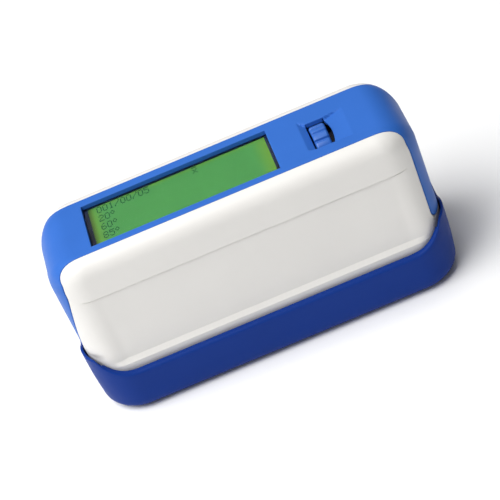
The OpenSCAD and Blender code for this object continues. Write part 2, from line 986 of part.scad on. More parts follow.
module wheel_switch() color(dark_plastic) {
    switch_low = bracket_low + bracket_floor + eps;
    block(switch_body, wheel_x, wheel_y, switch_low);
    translate([wheel_x, wheel_y, switch_low])
        cylinder(r = switch_plunger_radius, h = switch_plunger_top - switch_low);
}

// Two leaf springs that lift the carrier, each rising from the bracket's floor.
module wheel_spring() color(spring_steel) {
    leaf_low = bracket_low + bracket_floor + tiny;
    for (side = [-1, 1])
        translate([wheel_x, wheel_y + side*leaf_place, leaf_low]) {
            block([2*leaf_length, leaf_width, leaf_thickness], 0, 0, 0);
            translate([-leaf_length + leaf_thickness, -leaf_width/2, 0])
                rotate([0, -leaf_rise, 0])
                    cube([1.5*leaf_length, leaf_width, leaf_thickness]);
        }
}

module wheel_carrier() color(dark_plastic) {
    difference() {
        union() {
            block([2*cheek_outer, carrier_depth, carrier_floor], wheel_x, wheel_y, carrier_low);
            for (side = [-1, 1])
                block([cheek_thickness, cheek_depth, cheek_top - carrier_low],
                    wheel_x + side*(cheek_inner + cheek_thickness/2), wheel_y, carrier_low);
        }
        translate([wheel_x, wheel_y, wheel_z])
            rotate([0, 90, 0])
                cylinder(r = axle_radius + axle_fit, h = 4*wheel_width, center = true);
    }
}

module scroll_wheel() color(holder_blue) {
    translate([wheel_x, wheel_y, wheel_z])
        rotate([0, 90, 0])
            difference() {
                cylinder(r = wheel_radius, h = wheel_width, center = true);
                cylinder(r = axle_radius, h = 2*wheel_width, center = true);
                for (i = [0 : wheel_grooves - 1])
                    rotate((i + 0.5)*360/wheel_grooves + groove_phase)
                        translate([wheel_radius + groove_outset, 0, 0])
                            cylinder(r = groove_radius, h = 2*wheel_width, center = true,
                                $fn = screw_sides);
            }
}

module wheel_axle() color(bare_metal) {
    axle_left = wheel_x - cheek_outer + axle_inset;
    axle_right = wheel_x + cheek_outer + encoder_size[0] - encoder_back;
    translate([axle_left, wheel_y, wheel_z])
        rotate([0, 90, 0])
            cylinder(r = axle_radius, h = axle_right - axle_left);
}

module wheel_encoder() color(dark_plastic) {
    difference() {
        block(encoder_size, wheel_x + cheek_outer + encoder_size[0]/2, wheel_y,
            wheel_z - encoder_size[2]/2);
        translate([wheel_x + cheek_outer - encoder_back, wheel_y, wheel_z])
            rotate([0, 90, 0])
                cylinder(r = axle_radius + axle_fit, h = encoder_size[0]);
    }
}

// ---- operate button --------------------------------------------------

module operate_button() color(holder_blue) {
    translate([-half_length - button_rise, 0, button_z])
        rotate([0, 90, 0]) {
            cylinder(r1 = button_radius - edge_taper, r2 = button_radius, h = edge_height);
            translate([0, 0, edge_height])
                cylinder(r = button_radius, h = button_rise + cover_wall - edge_height + flange_lap);
        }
    translate([flange_x, 0, button_z])
        rotate([0, 90, 0]) {
            cylinder(r = flange_radius, h = flange_height);
            cylinder(r = stem_radius, h = flange_height + stem_rise);
        }
}

holder_shell();
holder_feet();
tile_pad();
calibration_tile();
tile_frame();
tile_screws();
front_shell();
rear_shell();
top_cover();
base_plate();
chassis();
housing_screws();
base_screws();
chassis_screws();
display_window();
display_frame();
display_panel();
display_backlight();
display_board();
main_board();
board_components();
side_board();
usb_socket();
operate_switch();
optics_block();
lamp_20();
lamp_60();
lamp_85();
source_lenses();
receiver_lenses();
detector_20();
detector_60();
detector_85();
battery_tray();
battery_cell();
contact_plate();
contact_spring();
wheel_board();
wheel_bracket();
wheel_switch();
wheel_carrier();
wheel_spring();
wheel_encoder();
scroll_wheel();
wheel_axle();
operate_button();
battery_door();
door_pin();
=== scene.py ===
"""Handheld gloss meter in its calibration holder: the looks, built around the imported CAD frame.

Shapes are worked out in millimetres and turned into metres as each mesh is made.
"""

import math

import bpy
import numpy as np
from mathutils import Matrix, Vector


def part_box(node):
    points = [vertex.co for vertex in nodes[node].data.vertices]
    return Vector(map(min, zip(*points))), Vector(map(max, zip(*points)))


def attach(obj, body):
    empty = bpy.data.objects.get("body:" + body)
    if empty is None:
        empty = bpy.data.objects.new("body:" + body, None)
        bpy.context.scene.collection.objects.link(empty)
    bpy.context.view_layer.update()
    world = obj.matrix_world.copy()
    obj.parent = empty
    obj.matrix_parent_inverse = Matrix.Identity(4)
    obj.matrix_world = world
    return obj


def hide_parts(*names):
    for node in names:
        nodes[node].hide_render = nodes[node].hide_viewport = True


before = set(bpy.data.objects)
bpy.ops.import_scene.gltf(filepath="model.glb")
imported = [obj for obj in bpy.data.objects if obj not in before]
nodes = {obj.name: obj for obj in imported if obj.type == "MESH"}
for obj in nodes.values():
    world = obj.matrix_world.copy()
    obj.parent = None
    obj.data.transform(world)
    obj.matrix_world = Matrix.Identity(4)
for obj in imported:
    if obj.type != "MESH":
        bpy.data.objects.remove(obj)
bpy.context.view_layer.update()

MM = 0.001
TURN = 2 * math.pi
QUARTER = math.pi / 2


def box_mm(node):
    """A CAD node's lowest and highest corners, in millimetres."""
    low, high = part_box(node)
    return np.array(low) / MM, np.array(high) / MM


# ---- driving sizes, in millimetres ------------------------------------------

FRONT_LOW, FRONT_HIGH = box_mm("front_shell")
COVER_LOW, COVER_HIGH = box_mm("top_cover")
HOLDER_LOW, HOLDER_HIGH = box_mm("holder_shell")
WHEEL_LOW, WHEEL_HIGH = box_mm("scroll_wheel")
WINDOW_LOW, WINDOW_HIGH = box_mm("display_window")
PANEL_LOW, PANEL_HIGH = box_mm("display_panel")
DOOR_LOW, DOOR_HIGH = box_mm("battery_door")
BUTTON_LOW, BUTTON_HIGH = box_mm("operate_button")
USB_LOW, USB_HIGH = box_mm("usb_socket")
TILE_LOW, TILE_HIGH = box_mm("calibration_tile")
SCREW_LOW, SCREW_HIGH = box_mm("housing_screws")

HALF_LENGTH = FRONT_HIGH[0]
HALF_DEPTH = -FRONT_LOW[1]
BODY_LOW = FRONT_LOW[2]
BODY_TOP = COVER_HIGH[2]
TONGUE_END = COVER_LOW[2]

PLAN_RADIUS = 15.0        # upright corners, seen from above
END_RADIUS = 13.5         # the two top corners, seen from the front
SHOULDER_RADIUS = 6.8     # between the top and the long sides
FOOT_RADIUS = 1.6         # along the instrument's bottom edge
LEAST_RADIUS = 4.0
SHELL_WALL = 2.6
COVER_WALL = 2.0
SEAM_GAP = 0.15
EDGE_ROLL = 0.28          # rounding of every moulding's edge

STRIP_HALF = 17.4         # half-width of the blue cover on top
TONGUE_HALF = 19.9        # half-width of its tongues
STRIP_WIDENS_FROM = BODY_TOP - 9.0
TIP_RADIUS = 3.6          # rounding of the tongues' lower corners
LEAN_SLOPE = 0.31         # how fast the left tongue narrows towards its tip
LEAN_ONSET = 4.0
ARC_Z = BODY_TOP - END_RADIUS

CREASE_Z = 60.7
CREASE_GROOVE = 0.7
LEDGE_TOP_Z = 25.7
LEDGE_LOW_Z = 23.8
PANEL_DEPTH_TOP = 0.5
PANEL_DEPTH_LOW = 1.5
PANEL_FADE_FROM = 61.0
PANEL_FADE_TO = 70.5


def smooth(value, start, end):
    """0 before start, 1 after end, and an S curve between them."""
    t = np.clip((value - start) / (end - start), 0, 1)
    return t * t * (3 - 2 * t)


# ---- the instrument's skin --------------------------------------------------

def section(z):
    """Half-length, half-depth and corner radius of the body's plan at height z."""
    z = np.asarray(z, float)
    up_end = np.clip((z - (BODY_TOP - END_RADIUS)) / END_RADIUS, 0, 1)
    up_side = np.clip((z - (BODY_TOP - SHOULDER_RADIUS)) / SHOULDER_RADIUS, 0, 1)
    down = np.clip((BODY_LOW + FOOT_RADIUS - z) / FOOT_RADIUS, 0, 1)
    tuck = FOOT_RADIUS * (1 - np.sqrt(1 - down**2))
    half_length = HALF_LENGTH - END_RADIUS * (1 - np.sqrt(1 - up_end**2))
    half_depth = HALF_DEPTH - SHOULDER_RADIUS * (1 - np.sqrt(1 - up_side**2))
    radius = np.maximum(PLAN_RADIUS - 0.8 * (HALF_LENGTH - half_length), LEAST_RADIUS)
    return half_length - tuck, half_depth - tuck, radius - 0.5 * tuck


def outside(x, y, z):
    """Signed distance, roughly, of a point from the body's plan at its own height."""
    a, b, r = section(z)
    dx = np.abs(x) - (a - r)
    dy = np.abs(y) - (b - r)
    beyond = np.sqrt(np.maximum(dx, 0) ** 2 + np.maximum(dy, 0) ** 2)
    return np.maximum(beyond + np.minimum(np.maximum(dx, dy), 0) - r, z - BODY_TOP)


def depth_at(x, z):
    """How far the skin stands from the middle plane at x and z."""
    a, b, r = section(z)
    along = np.clip((np.abs(x) - (a - r)) / r, 0, 1)
    return b - r + r * np.sqrt(1 - along**2)


def seam_half(z):
    """Half-width of the blue cover where its edge passes height z."""
    widen = 1 - smooth(z, STRIP_WIDENS_FROM, BODY_TOP)
    return STRIP_HALF + (TONGUE_HALF - STRIP_HALF) * widen


def seam_x(z, gap):
    """Place along the length where the seam meets height z."""
    a, b, r = section(z)
    sine = np.clip((seam_half(z) + gap - (b - r)) / r, 0, 1)
    return a - r + r * np.sqrt(1 - sine**2)


def lean(z, end):
    """How much further round the corner the left tongue's edge lies at height z."""
    drop = ARC_Z - np.clip(z, TONGUE_END, ARC_Z)
    return np.where(np.asarray(end) < 0, LEAN_SLOPE * drop**2 / (drop + LEAN_ONSET), 0)


def around(x, z):
    """Distance round the plan's outline, counted from where the corner's arc begins."""
    a, b, r = section(z)
    beyond = np.abs(x) - (a - r)
    return np.where(beyond > 0, r * np.arcsin(np.clip(beyond / r, 0, 1)), beyond)


def outline(p, z):
    """Place in plan, as positive x and y, at a distance p round the outline."""
    a, b, r = section(z)
    turn = np.clip(p / r, 0, QUARTER)
    x = a - r + r * np.sin(turn) + np.minimum(p, 0)
    return x, b - r + r * np.cos(turn) - np.maximum(p - r * QUARTER, 0)


def panel_recess(x, z):
    """Depth of the flat grip panel below the skin."""
    fade = 1 - smooth(np.abs(x), PANEL_FADE_FROM, PANEL_FADE_TO)
    slope = np.clip((CREASE_Z - z) / (CREASE_Z - LEDGE_TOP_Z), 0, 1)
    depth = PANEL_DEPTH_TOP + (PANEL_DEPTH_LOW - PANEL_DEPTH_TOP) * slope
    below_crease = smooth(-z, -CREASE_Z, -CREASE_Z + 0.12)
    groove = CREASE_GROOVE * (1 - smooth(-z, -CREASE_Z + 0.22, -CREASE_Z + 0.5))
    above_ledge = np.clip((z - LEDGE_LOW_Z) / (LEDGE_TOP_Z - LEDGE_LOW_Z), 0, 1)
    return (depth + groove) * fade * below_crease * above_ledge


# ---- mesh tools -------------------------------------------------------------

def make_object(name, points, faces, sharp_from=38):
    """A smooth-shaded mesh object from points in millimetres."""
    mesh = bpy.data.meshes.new(name)
    mesh.from_pydata((np.asarray(points) * MM).tolist(), [], faces)
    mesh.validate()
    mesh.update()
    mesh.polygons.foreach_set("use_smooth", [True] * len(mesh.polygons))
    mesh.set_sharp_from_angle(angle=math.radians(sharp_from))
    made = bpy.data.objects.new(name, mesh)
    bpy.context.scene.collection.objects.link(made)
    return made


def spaced(stops, step):
    """The stops, with evenly spaced values no further apart than step between them."""
    stops = sorted(set(round(s, 4) for s in stops))
    out = [stops[0]]
    for low, high in zip(stops, stops[1:]):
        count = max(1, math.ceil((high - low) / step - 1e-6))
        out += [low + (high - low) * k / count for k in range(1, count + 1)]
    return np.array(out)


def grid_faces(rows, columns, keep=None):
    """Quads of a grid; keep(row, column) leaves a cell out where it is false."""
    faces = []
    for i in range(rows - 1):
        for j in range(columns - 1):
            if keep is None or keep(i, j):
                a = i * columns + j
                faces.append((a, a + 1, a + columns + 1, a + columns))
    return faces


def point_normals(points, faces):
    """Each point's outward direction, averaged over its quads."""
    corners = points[np.array(faces)]
    across = corners[:, 2] - corners[:, 0]
    other = corners[:, 3] - corners[:, 1]
    face_normals = np.cross(across, other)
    normals = np.zeros_like(points)
    for k in range(4):
        np.add.at(normals, np.array(faces)[:, k], face_normals)
    length = np.linalg.norm(normals, axis=1)
    return normals / np.maximum(length, 1e-9)[:, None]


def thicken(points, faces, wall, roll=EDGE_ROLL, steps=4):
    """Turns an open sheet of quads into a closed wall with rolled outer edges.

    The sheet's own edge lies one roll radius inside the finished edge.
    """
    points = np.asarray(points, float)
    used = sorted(set(i for f in faces for i in f))
    renumber = {old: new for new, old in enumerate(used)}
    points = points[used]
    faces = [tuple(renumber[i] for i in f) for f in faces]
    normals = point_normals(points, faces)
    edges = dict.fromkeys(e for f in faces for e in zip(f, f[1:] + f[:1]))
    border = [e for e in edges if (e[1], e[0]) not in edges]
    outward = {}
    for a, b in border:
        run = points[b] - points[a]
        side = np.cross(run, normals[a] + normals[b])
        side /= max(np.linalg.norm(side), 1e-9)
        outward.setdefault(a, []).append(side)
        outward.setdefault(b, []).append(side)
    rim = sorted(outward)
    push = {}
    for i in rim:
        mean = np.mean(outward[i], axis=0)
        mean -= normals[i] * np.dot(mean, normals[i])
        push[i] = mean / max(np.dot(mean, mean), 0.25)
    out_points = [points]
    ring_start = []
    total = len(points)
    for angle in quarter_turn(steps)[1:]:
        ring = [points[i] + roll * (push[i] * math.sin(angle) - normals[i] * (1 - math.cos(angle)))
                for i in rim]
        out_points.append(np.array(ring))
        ring_start.append(total)
        total += len(rim)
    inner = points - normals * wall
    for i in rim:
        inner[i] = points[i] + roll * push[i] - normals[i] * wall
    out_points.append(inner)
    inner_start = total
    place = {i: k for k, i in enumerate(rim)}
    out_faces = list(faces)
    for a, b in border:
        levels = [(a, b)]
        levels += [(s + place[a], s + place[b]) for s in ring_start]
        levels.append((inner_start + a, inner_start + b))
        for (a0, b0), (a1, b1) in zip(levels, levels[1:]):
            out_faces.append((b0, a0, a1, b1))
    out_faces += [tuple(inner_start + i for i in reversed(f)) for f in faces]
    return np.concatenate(out_points), out_faces


def band_faces(size, first, second):
    """Quads between two numbered loops of the same size."""
    return [(first * size + i, first * size + (i + 1) % size,
             second * size + (i + 1) % size, second * size + i) for i in range(size)]


def loft(loops):
    """Joins closed loops of equal length into one closed skin, first loop to last."""
    size, last = len(loops[0]), len(loops) - 1
    faces = [face for k in range(last) for face in band_faces(size, k, k + 1)]
    faces += [tuple(reversed(range(size))), tuple(last * size + i for i in range(size))]
    return np.concatenate(loops), faces


def outward_facing(points, faces):
    """Turns the faces over if the body they close is inside out."""
    points = np.asarray(points, float)
    volume = 0.0
    for f in faces:
        for p, q in zip(f[1:-1], f[2:]):
            volume += np.dot(points[f[0]], np.cross(points[p], points[q]))
    if volume < 0:
        faces = [tuple(reversed(f)) for f in faces]
    return points, faces


def closed_loft(loops):
    """A loft whose last loop joins back to its first: a ring-shaped closed body."""
    size, count = len(loops[0]), len(loops)
    faces = [face for k in range(count) for face in band_faces(size, k, (k + 1) % count)]
    return outward_facing(np.concatenate(loops), faces)


def even_angles(count):
    return np.arange(count) * TURN / count


def quarter_turn(steps):
    """Angles from 0 to a quarter turn, both ends included."""
    return [QUARTER * k / steps for k in range(steps + 1)]


def grown(box, margin):
    """A box of low x, high x, low y and high y, made larger all round."""
    return box[0] - margin, box[1] + margin, box[2] - margin, box[3] + margin


def joined(*parts):
    """Several (points, faces) pairs as one."""
    points, faces, start = [], [], 0
    for part_points, part_faces in parts:
        points.append(np.asarray(part_points, float))
        faces += [tuple(start + i for i in f) for f in part_faces]
        start += len(part_points)
    return np.concatenate(points), faces


def turned(profile, steps=64):
    """A closed body turned about Z from a list of (radius, z), axis to axis."""
    angles = even_angles(steps)
    loops = [np.column_stack([r * np.cos(angles), r * np.sin(angles), np.full(steps, z)])
             for r, z in profile]
    return loft(loops)


def add_piece(name, part, body, material_slot, material, *replaced, sharp_from=38):
    """Makes a piece that rides on a body and stands for the CAD nodes named last."""
    made = make_object(name, *part, sharp_from)
    made.data.materials.append(material)
    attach(made, body)
    if replaced:
        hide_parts(*replaced)


# ---- materials --------------------------------------------------------------

class Nodes:
    """A short way to write a material's nodes."""

    def __init__(self, name):
        self.material = bpy.data.materials.new(name)
        self.material.use_nodes = True
        self.tree = self.material.node_tree
        self.shader = self.tree.nodes["Principled BSDF"]
        self.where = self.new("ShaderNodeTexCoord").outputs["Object"]

    def new(self, kind, **settings):
        """Adds a node; each setting is one of its properties or one of its sockets."""
        node = self.tree.nodes.new(kind)
        for key, value in settings.items():
            if hasattr(node, key):
                setattr(node, key, value)
            else:
                node.inputs[key.replace("_", " ")].default_value = value
        return node

    def join(self, source, target):
        """Links a socket to another, or gives it a constant colour or number."""
        if isinstance(source, bpy.types.NodeSocket):
            self.tree.links.new(source, target)
        else:
            target.default_value = (*source, 1) if isinstance(source, tuple) else source

    def feed(self, socket, source):
        self.join(source, self.shader.inputs[socket])

    def set(self, **values):
        for key, value in values.items():
            self.shader.inputs[key.replace("_", " ")].default_value = value


def noise(n, where, scale, detail=3.0, roughness=0.5):
    node = n.new("ShaderNodeTexNoise", Scale=scale, Detail=detail, Roughness=roughness)
    n.join(where, node.inputs["Vector"])
    return node.outputs["Fac"]


def spread(n, value, low, high):
    """Maps a noise's usual range onto low..high."""
    node = n.new("ShaderNodeMapRange", From_Min=0.3, From_Max=0.7, To_Min=low, To_Max=high)
    n.join(value, node.inputs["Value"])
    return node.outputs["Result"]


def mixed(n, factor, first, second, **settings):
    """Blends two colours; each of the three inputs is a socket or a constant."""
    node = n.new("ShaderNodeMix", data_type="RGBA", **settings)
    for key, value in (("Factor", factor), ("A", first), ("B", second)):
        n.join(value, node.inputs[key])
    return node.outputs["Result"]


def cloudy(n, scale, detail, low=0.0, high=1.0):
    return spread(n, noise(n, n.where, scale, detail), low, high)


def tinted(n, scale, first, second):
    """Gives the shader a colour that drifts between two."""
    n.feed("Base Color", mixed(n, cloudy(n, scale, 2.0), first, second))


def moulded_plastic(name, colour, variation, rough, grain_depth, grain_scale=2600.0, specular=0.5):
    """Injection-moulded plastic: spark-eroded grain, slight mottling and handled patches."""
    n = Nodes(name)
    dark, light = (tuple(min(1, c * (1 + change)) for c in colour)
                   for change in (-variation, variation))
    tinted(n, 38.0, dark, light)
    n.feed("Roughness", cloudy(n, 90.0, 4.0, rough - 0.05, rough + 0.06))
    n.set(Specular_IOR_Level=specular)
    bump = n.new("ShaderNodeBump", Strength=1.0, Distance=grain_depth * MM)
    n.join(noise(n, n.where, grain_scale, 2.0, 0.6), bump.inputs["Height"])
    n.feed("Normal", bump.outputs["Normal"])
    return n.material


def metal(name, colour, rough, brushed_scale=900.0):
    """Brushed or plated metal, its streaks running along Y."""
    n = Nodes(name)
    stretch = n.new("ShaderNodeMapping", Scale=(1.0, 0.06, 1.0))
    n.join(n.where, stretch.inputs["Vector"])
    streaks = noise(n, stretch.outputs["Vector"], brushed_scale)
    n.feed("Roughness", spread(n, streaks, rough - 0.08, rough + 0.1))
    tinted(n, 300.0, tuple(0.82 * c for c in colour), colour)
    n.set(Metallic=1.0)
    return n.material


def polished(name, scale, first, second, gloss_scale, gloss_low, gloss_high, **shader):
    """A smooth surface whose colour and gloss drift a little."""
    n = Nodes(name)
    tinted(n, scale, first, second)
    n.feed("Roughness", cloudy(n, gloss_scale, 3.0, gloss_low, gloss_high))
    n.set(**shader)
    return n.material


def screen(name):
    """The lit green display: brighter in the middle, yellower and darker at its edges; the darkening
    along its left edge is painted shadow of the bezel together with the backlight's falloff.
    """
    n = Nodes(name)
    split = n.new("ShaderNodeSeparateXYZ")
    n.join(n.where, split.inputs["Vector"])

    def edge(axis, centre, half, soft, most=1.0):
        """Rises from 0 to most as the distance from the centre comes near half."""
        off = n.new("ShaderNodeMath", operation="SUBTRACT")
        n.join(split.outputs[axis], off.inputs[0])
        n.join(centre * MM, off.inputs[1])
        size = n.new("ShaderNodeMath", operation="ABSOLUTE")
        n.join(off.outputs[0], size.inputs[0])
        fall = n.new("ShaderNodeMapRange", interpolation_type="SMOOTHSTEP",
                     From_Min=(half - soft) * MM, From_Max=half * MM, To_Min=0.0, To_Max=most)
        n.join(size.outputs[0], fall.inputs["Value"])
        return fall.outputs["Result"]

    centre_x, half_x = (VIEW_X[0] + VIEW_X[1]) / 2, (VIEW_X[1] - VIEW_X[0]) / 2
    centre_y, half_y = (VIEW_Y[0] + VIEW_Y[1]) / 2, (VIEW_Y[1] - VIEW_Y[0]) / 2
    both = n.new("ShaderNodeMath", operation="MAXIMUM")
    n.join(edge("X", centre_x, half_x, 7.0), both.inputs[0])
    n.join(edge("Y", centre_y, half_y, 3.0, 0.7), both.inputs[1])
    tone = mixed(n, both.outputs[0], SCREEN_MIDDLE, SCREEN_EDGE)
    # painted shadow: the bezel's shadow and the backlight's falloff darken the display's left edge
    rim = edge("X", centre_x + 1.4, half_x + 1.9, 3.2, 0.85)
    bezel_shadowed_tone = mixed(n, rim, tone, SCREEN_BEZEL_SHADOW_AND_FALLOFF)
    n.feed("Base Color", mixed(n, 1.0, bezel_shadowed_tone, SCREEN_UNLIT, blend_type="MULTIPLY"))
    # the glow is the backlight, and part of it is painted light standing in for the lamp light that
    # the clear window shuts off
    n.feed("Emission Color", bezel_shadowed_tone)
    n.set(Emission_Strength=SCREEN_GLOW)
    n.feed("Roughness", cloudy(n, 1800.0, 1.0, 0.28, 0.36))
    return n.material


def circuit_board(name):
    n = Nodes(name)
    tracks = n.new("ShaderNodeTexBrick", Scale=260.0, Mortar_Size=0.03,
                   Color1=(0.008, 0.10, 0.035, 1), Color2=(0.010, 0.13, 0.045, 1),
                   Mortar=(0.03, 0.22, 0.08, 1))
    n.join(n.where, tracks.inputs["Vector"])
    n.feed("Base Color", tracks.outputs["Color"])
    n.feed("Roughness", cloudy(n, 150.0, 3.0, 0.2, 0.34))
    return n.material


SCREEN_MIDDLE = (0.066, 0.300, 0.070)
SCREEN_EDGE = (0.130, 0.320, 0.034)
# painted shadow of the bezel, with the backlight's falloff, along the display's left edge
SCREEN_BEZEL_SHADOW_AND_FALLOFF = (0.03, 0.045, 0.008)
SCREEN_UNLIT = (0.35, 0.35, 0.35)
# backlight glow, partly painted light that makes up for the lamp light the window shuts off from the
# display
SCREEN_GLOW = 0.75

VIEW_X = (-53.8, 22.4)
VIEW_Y = (-13.4, 12.6)

white = moulded_plastic("white_plastic", (0.77, 0.755, 0.725), 0.012, 0.42, 0.010)
cover_blue = moulded_plastic("cover_blue_plastic", (0.030, 0.138, 0.520), 0.03, 0.44, 0.010,
                             specular=0.2)
holder_blue = moulded_plastic("holder_blue_plastic", (0.005, 0.034, 0.230), 0.03, 0.46, 0.014,
                              specular=0.1)
wheel_blue = moulded_plastic("wheel_blue_plastic", (0.025, 0.130, 0.500), 0.03, 0.34, 0.006)
base_grey = moulded_plastic("base_plastic", (0.028, 0.030, 0.036), 0.06, 0.5, 0.016)
black_plastic = moulded_plastic("black_plastic", (0.012, 0.012, 0.014), 0.08, 0.45, 0.012)
# painted shade: the display frame's dark navy stands for the blue plastic of the recess in shadow
recess_shade_navy = moulded_plastic("recess_painted_shade_plastic", (0.004, 0.010, 0.045), 0.08, 0.5, 0.012)
rubber = moulded_plastic("foot_rubber", (0.014, 0.014, 0.014), 0.1, 0.75, 0.03, 1500.0, 0.3)
light_guide = moulded_plastic("light_guide", (0.80, 0.80, 0.70), 0.02, 0.3, 0.004)
anodised = moulded_plastic("anodised_black", (0.018, 0.018, 0.020), 0.08, 0.38, 0.010, 3200.0, 0.7)
figure_ink = moulded_plastic("figure_segments", (0.018, 0.085, 0.050), 0.04, 0.6, 0.004,
                             specular=0.1)
steel = metal("plated_steel", (0.62, 0.62, 0.64), 0.3)
nickel = metal("nickel", (0.70, 0.67, 0.60), 0.26)
glass_black = polished("polished_black_glass", 70.0, (0.003, 0.003, 0.004), (0.008, 0.008, 0.010),
                       200.0, 0.015, 0.04, IOR=1.567, Specular_IOR_Level=0.6)
window_clear = polished("clear_window", 60.0, (0.94, 0.97, 0.96), (0.98, 1.0, 0.99),
                        120.0, 0.01, 0.05, Transmission_Weight=1.0, IOR=1.18)
screen_green = screen("display_screen")
board = circuit_board("circuit_board")
wrap = polished("cell_wrap", 60.0, (0.42, 0.25, 0.03), (0.50, 0.31, 0.05),
                240.0, 0.22, 0.32, Metallic=0.6)


# ---- the white shells -------------------------------------------------------

ROW_STEP = 1.3
COLUMN_STEP = 1.5
HOLD_X = 71.5             # outside this the left end's columns follow the leaning seam
HOLD_SHARE = 0.9
NOTCH_STEPS = 7           # grid lines round the notch below each tongue's corner
NOTCH_REACH = 5.0
COLUMN_REACH = 58.0       # inside this the columns run straight down
FAN_DEPTH = 20.0          # rows bend towards the seam's corner down to here
CORNER_COLUMNS = 14
SEAM_COLUMNS = 8          # of them, those outside HOLD_X
CORNER_Z = 75.4           # the seam's corner lies at this height


def surface_z(w):
    """Height of the skin at a distance w round the shoulder and down the side."""
    arc = SHOULDER_RADIUS * QUARTER
    w = np.asarray(w, float)
    over = BODY_TOP - SHOULDER_RADIUS * (1 - np.cos(np.minimum(w, arc) / SHOULDER_RADIUS))
    return np.where(w < arc, over, BODY_TOP - SHOULDER_RADIUS - (w - arc))


def surface_w(z):
    """The distance round the shoulder at which the skin passes height z."""
    arc = SHOULDER_RADIUS * QUARTER
    drop = np.clip(BODY_TOP - np.asarray(z, float), 0, None)
    on_arc = SHOULDER_RADIUS * np.arccos(1 - np.minimum(drop, SHOULDER_RADIUS) / SHOULDER_RADIUS)
    return np.where(drop < SHOULDER_RADIUS, on_arc, arc + drop - SHOULDER_RADIUS)


def notch_shift(dp, dz, radius):
    """Moves the sheet's inner corner below a tongue onto a rounded one."""
    t_up = np.clip(dz / radius, 0, 1)
    t_along = np.clip(dp / radius, 0, 1)
    turn = QUARTER / 2 * (1 - t_up + t_along)
    shift_p = radius * (1 - np.cos(turn) - t_along)
    shift_z = radius * (1 - np.sin(turn) - t_up)
    away = np.hypot(np.minimum(dp, 0), np.minimum(dz, 0))
    weight = np.clip(1 - away / NOTCH_REACH, 0, 1) ** 2
    weight = np.where((dp > 1e-6) & (dz > 1e-6), 0, weight)
    return shift_p * weight, shift_z * weight


def wrapped(flat, side, notch_z, notch):
    """Lays the flat grid on the skin and carries it round both ends to the middle seam."""
    x, z = flat[..., 0], flat[..., 1]
    p = around(x, z)
    a, b, r = section(z[:, -1])
    p_end = r * QUARTER + (b - r) - SEAM_GAP / 2 - EDGE_ROLL
    p_last = p[:, -1]
    length = float(p_end[-8] - p_last[-8])
    steps = notch * np.arange(1, NOTCH_STEPS + 1) / NOTCH_STEPS
    share = spaced([0, *steps, length], 2.4)[1:] / length
    beyond = p_last[:, None] + (p_end - p_last)[:, None] * share
    extra = beyond.shape[1]
    sign = np.concatenate([np.full(beyond.shape, -1.0), np.where(x < 0, -1.0, 1.0),
                           np.full(beyond.shape, 1.0)], axis=1)
    end_z = np.repeat(z[:, -1:], extra, axis=1)
    p = np.concatenate([beyond[:, ::-1], p, beyond], axis=1)
    z = np.concatenate([end_z, z, end_z], axis=1)
    shift_p, shift_z = notch_shift(p - p_last[:, None], z - notch_z, notch)
    low = z < ARC_Z
    p = p + np.where(low, shift_p, 0)
    z = z + np.where(low, shift_z, 0)
    hold = HOLD_SHARE * p_last[:, None]
    begin = p_last[:, None] - hold
    finish = (p_end - p_last)[:, None] - notch
    weight = np.clip((p - hold) / begin, 0, 1) * np.clip((p_end[:, None] - p) / finish, 0, 1)
    p = p + np.where(low, lean(z, sign) * weight, 0)
    plan_x, plan_y = outline(p, z)
    y = side * (plan_y - panel_recess(plan_x, z))
    return np.stack([sign * plan_x, y, z], axis=-1), extra


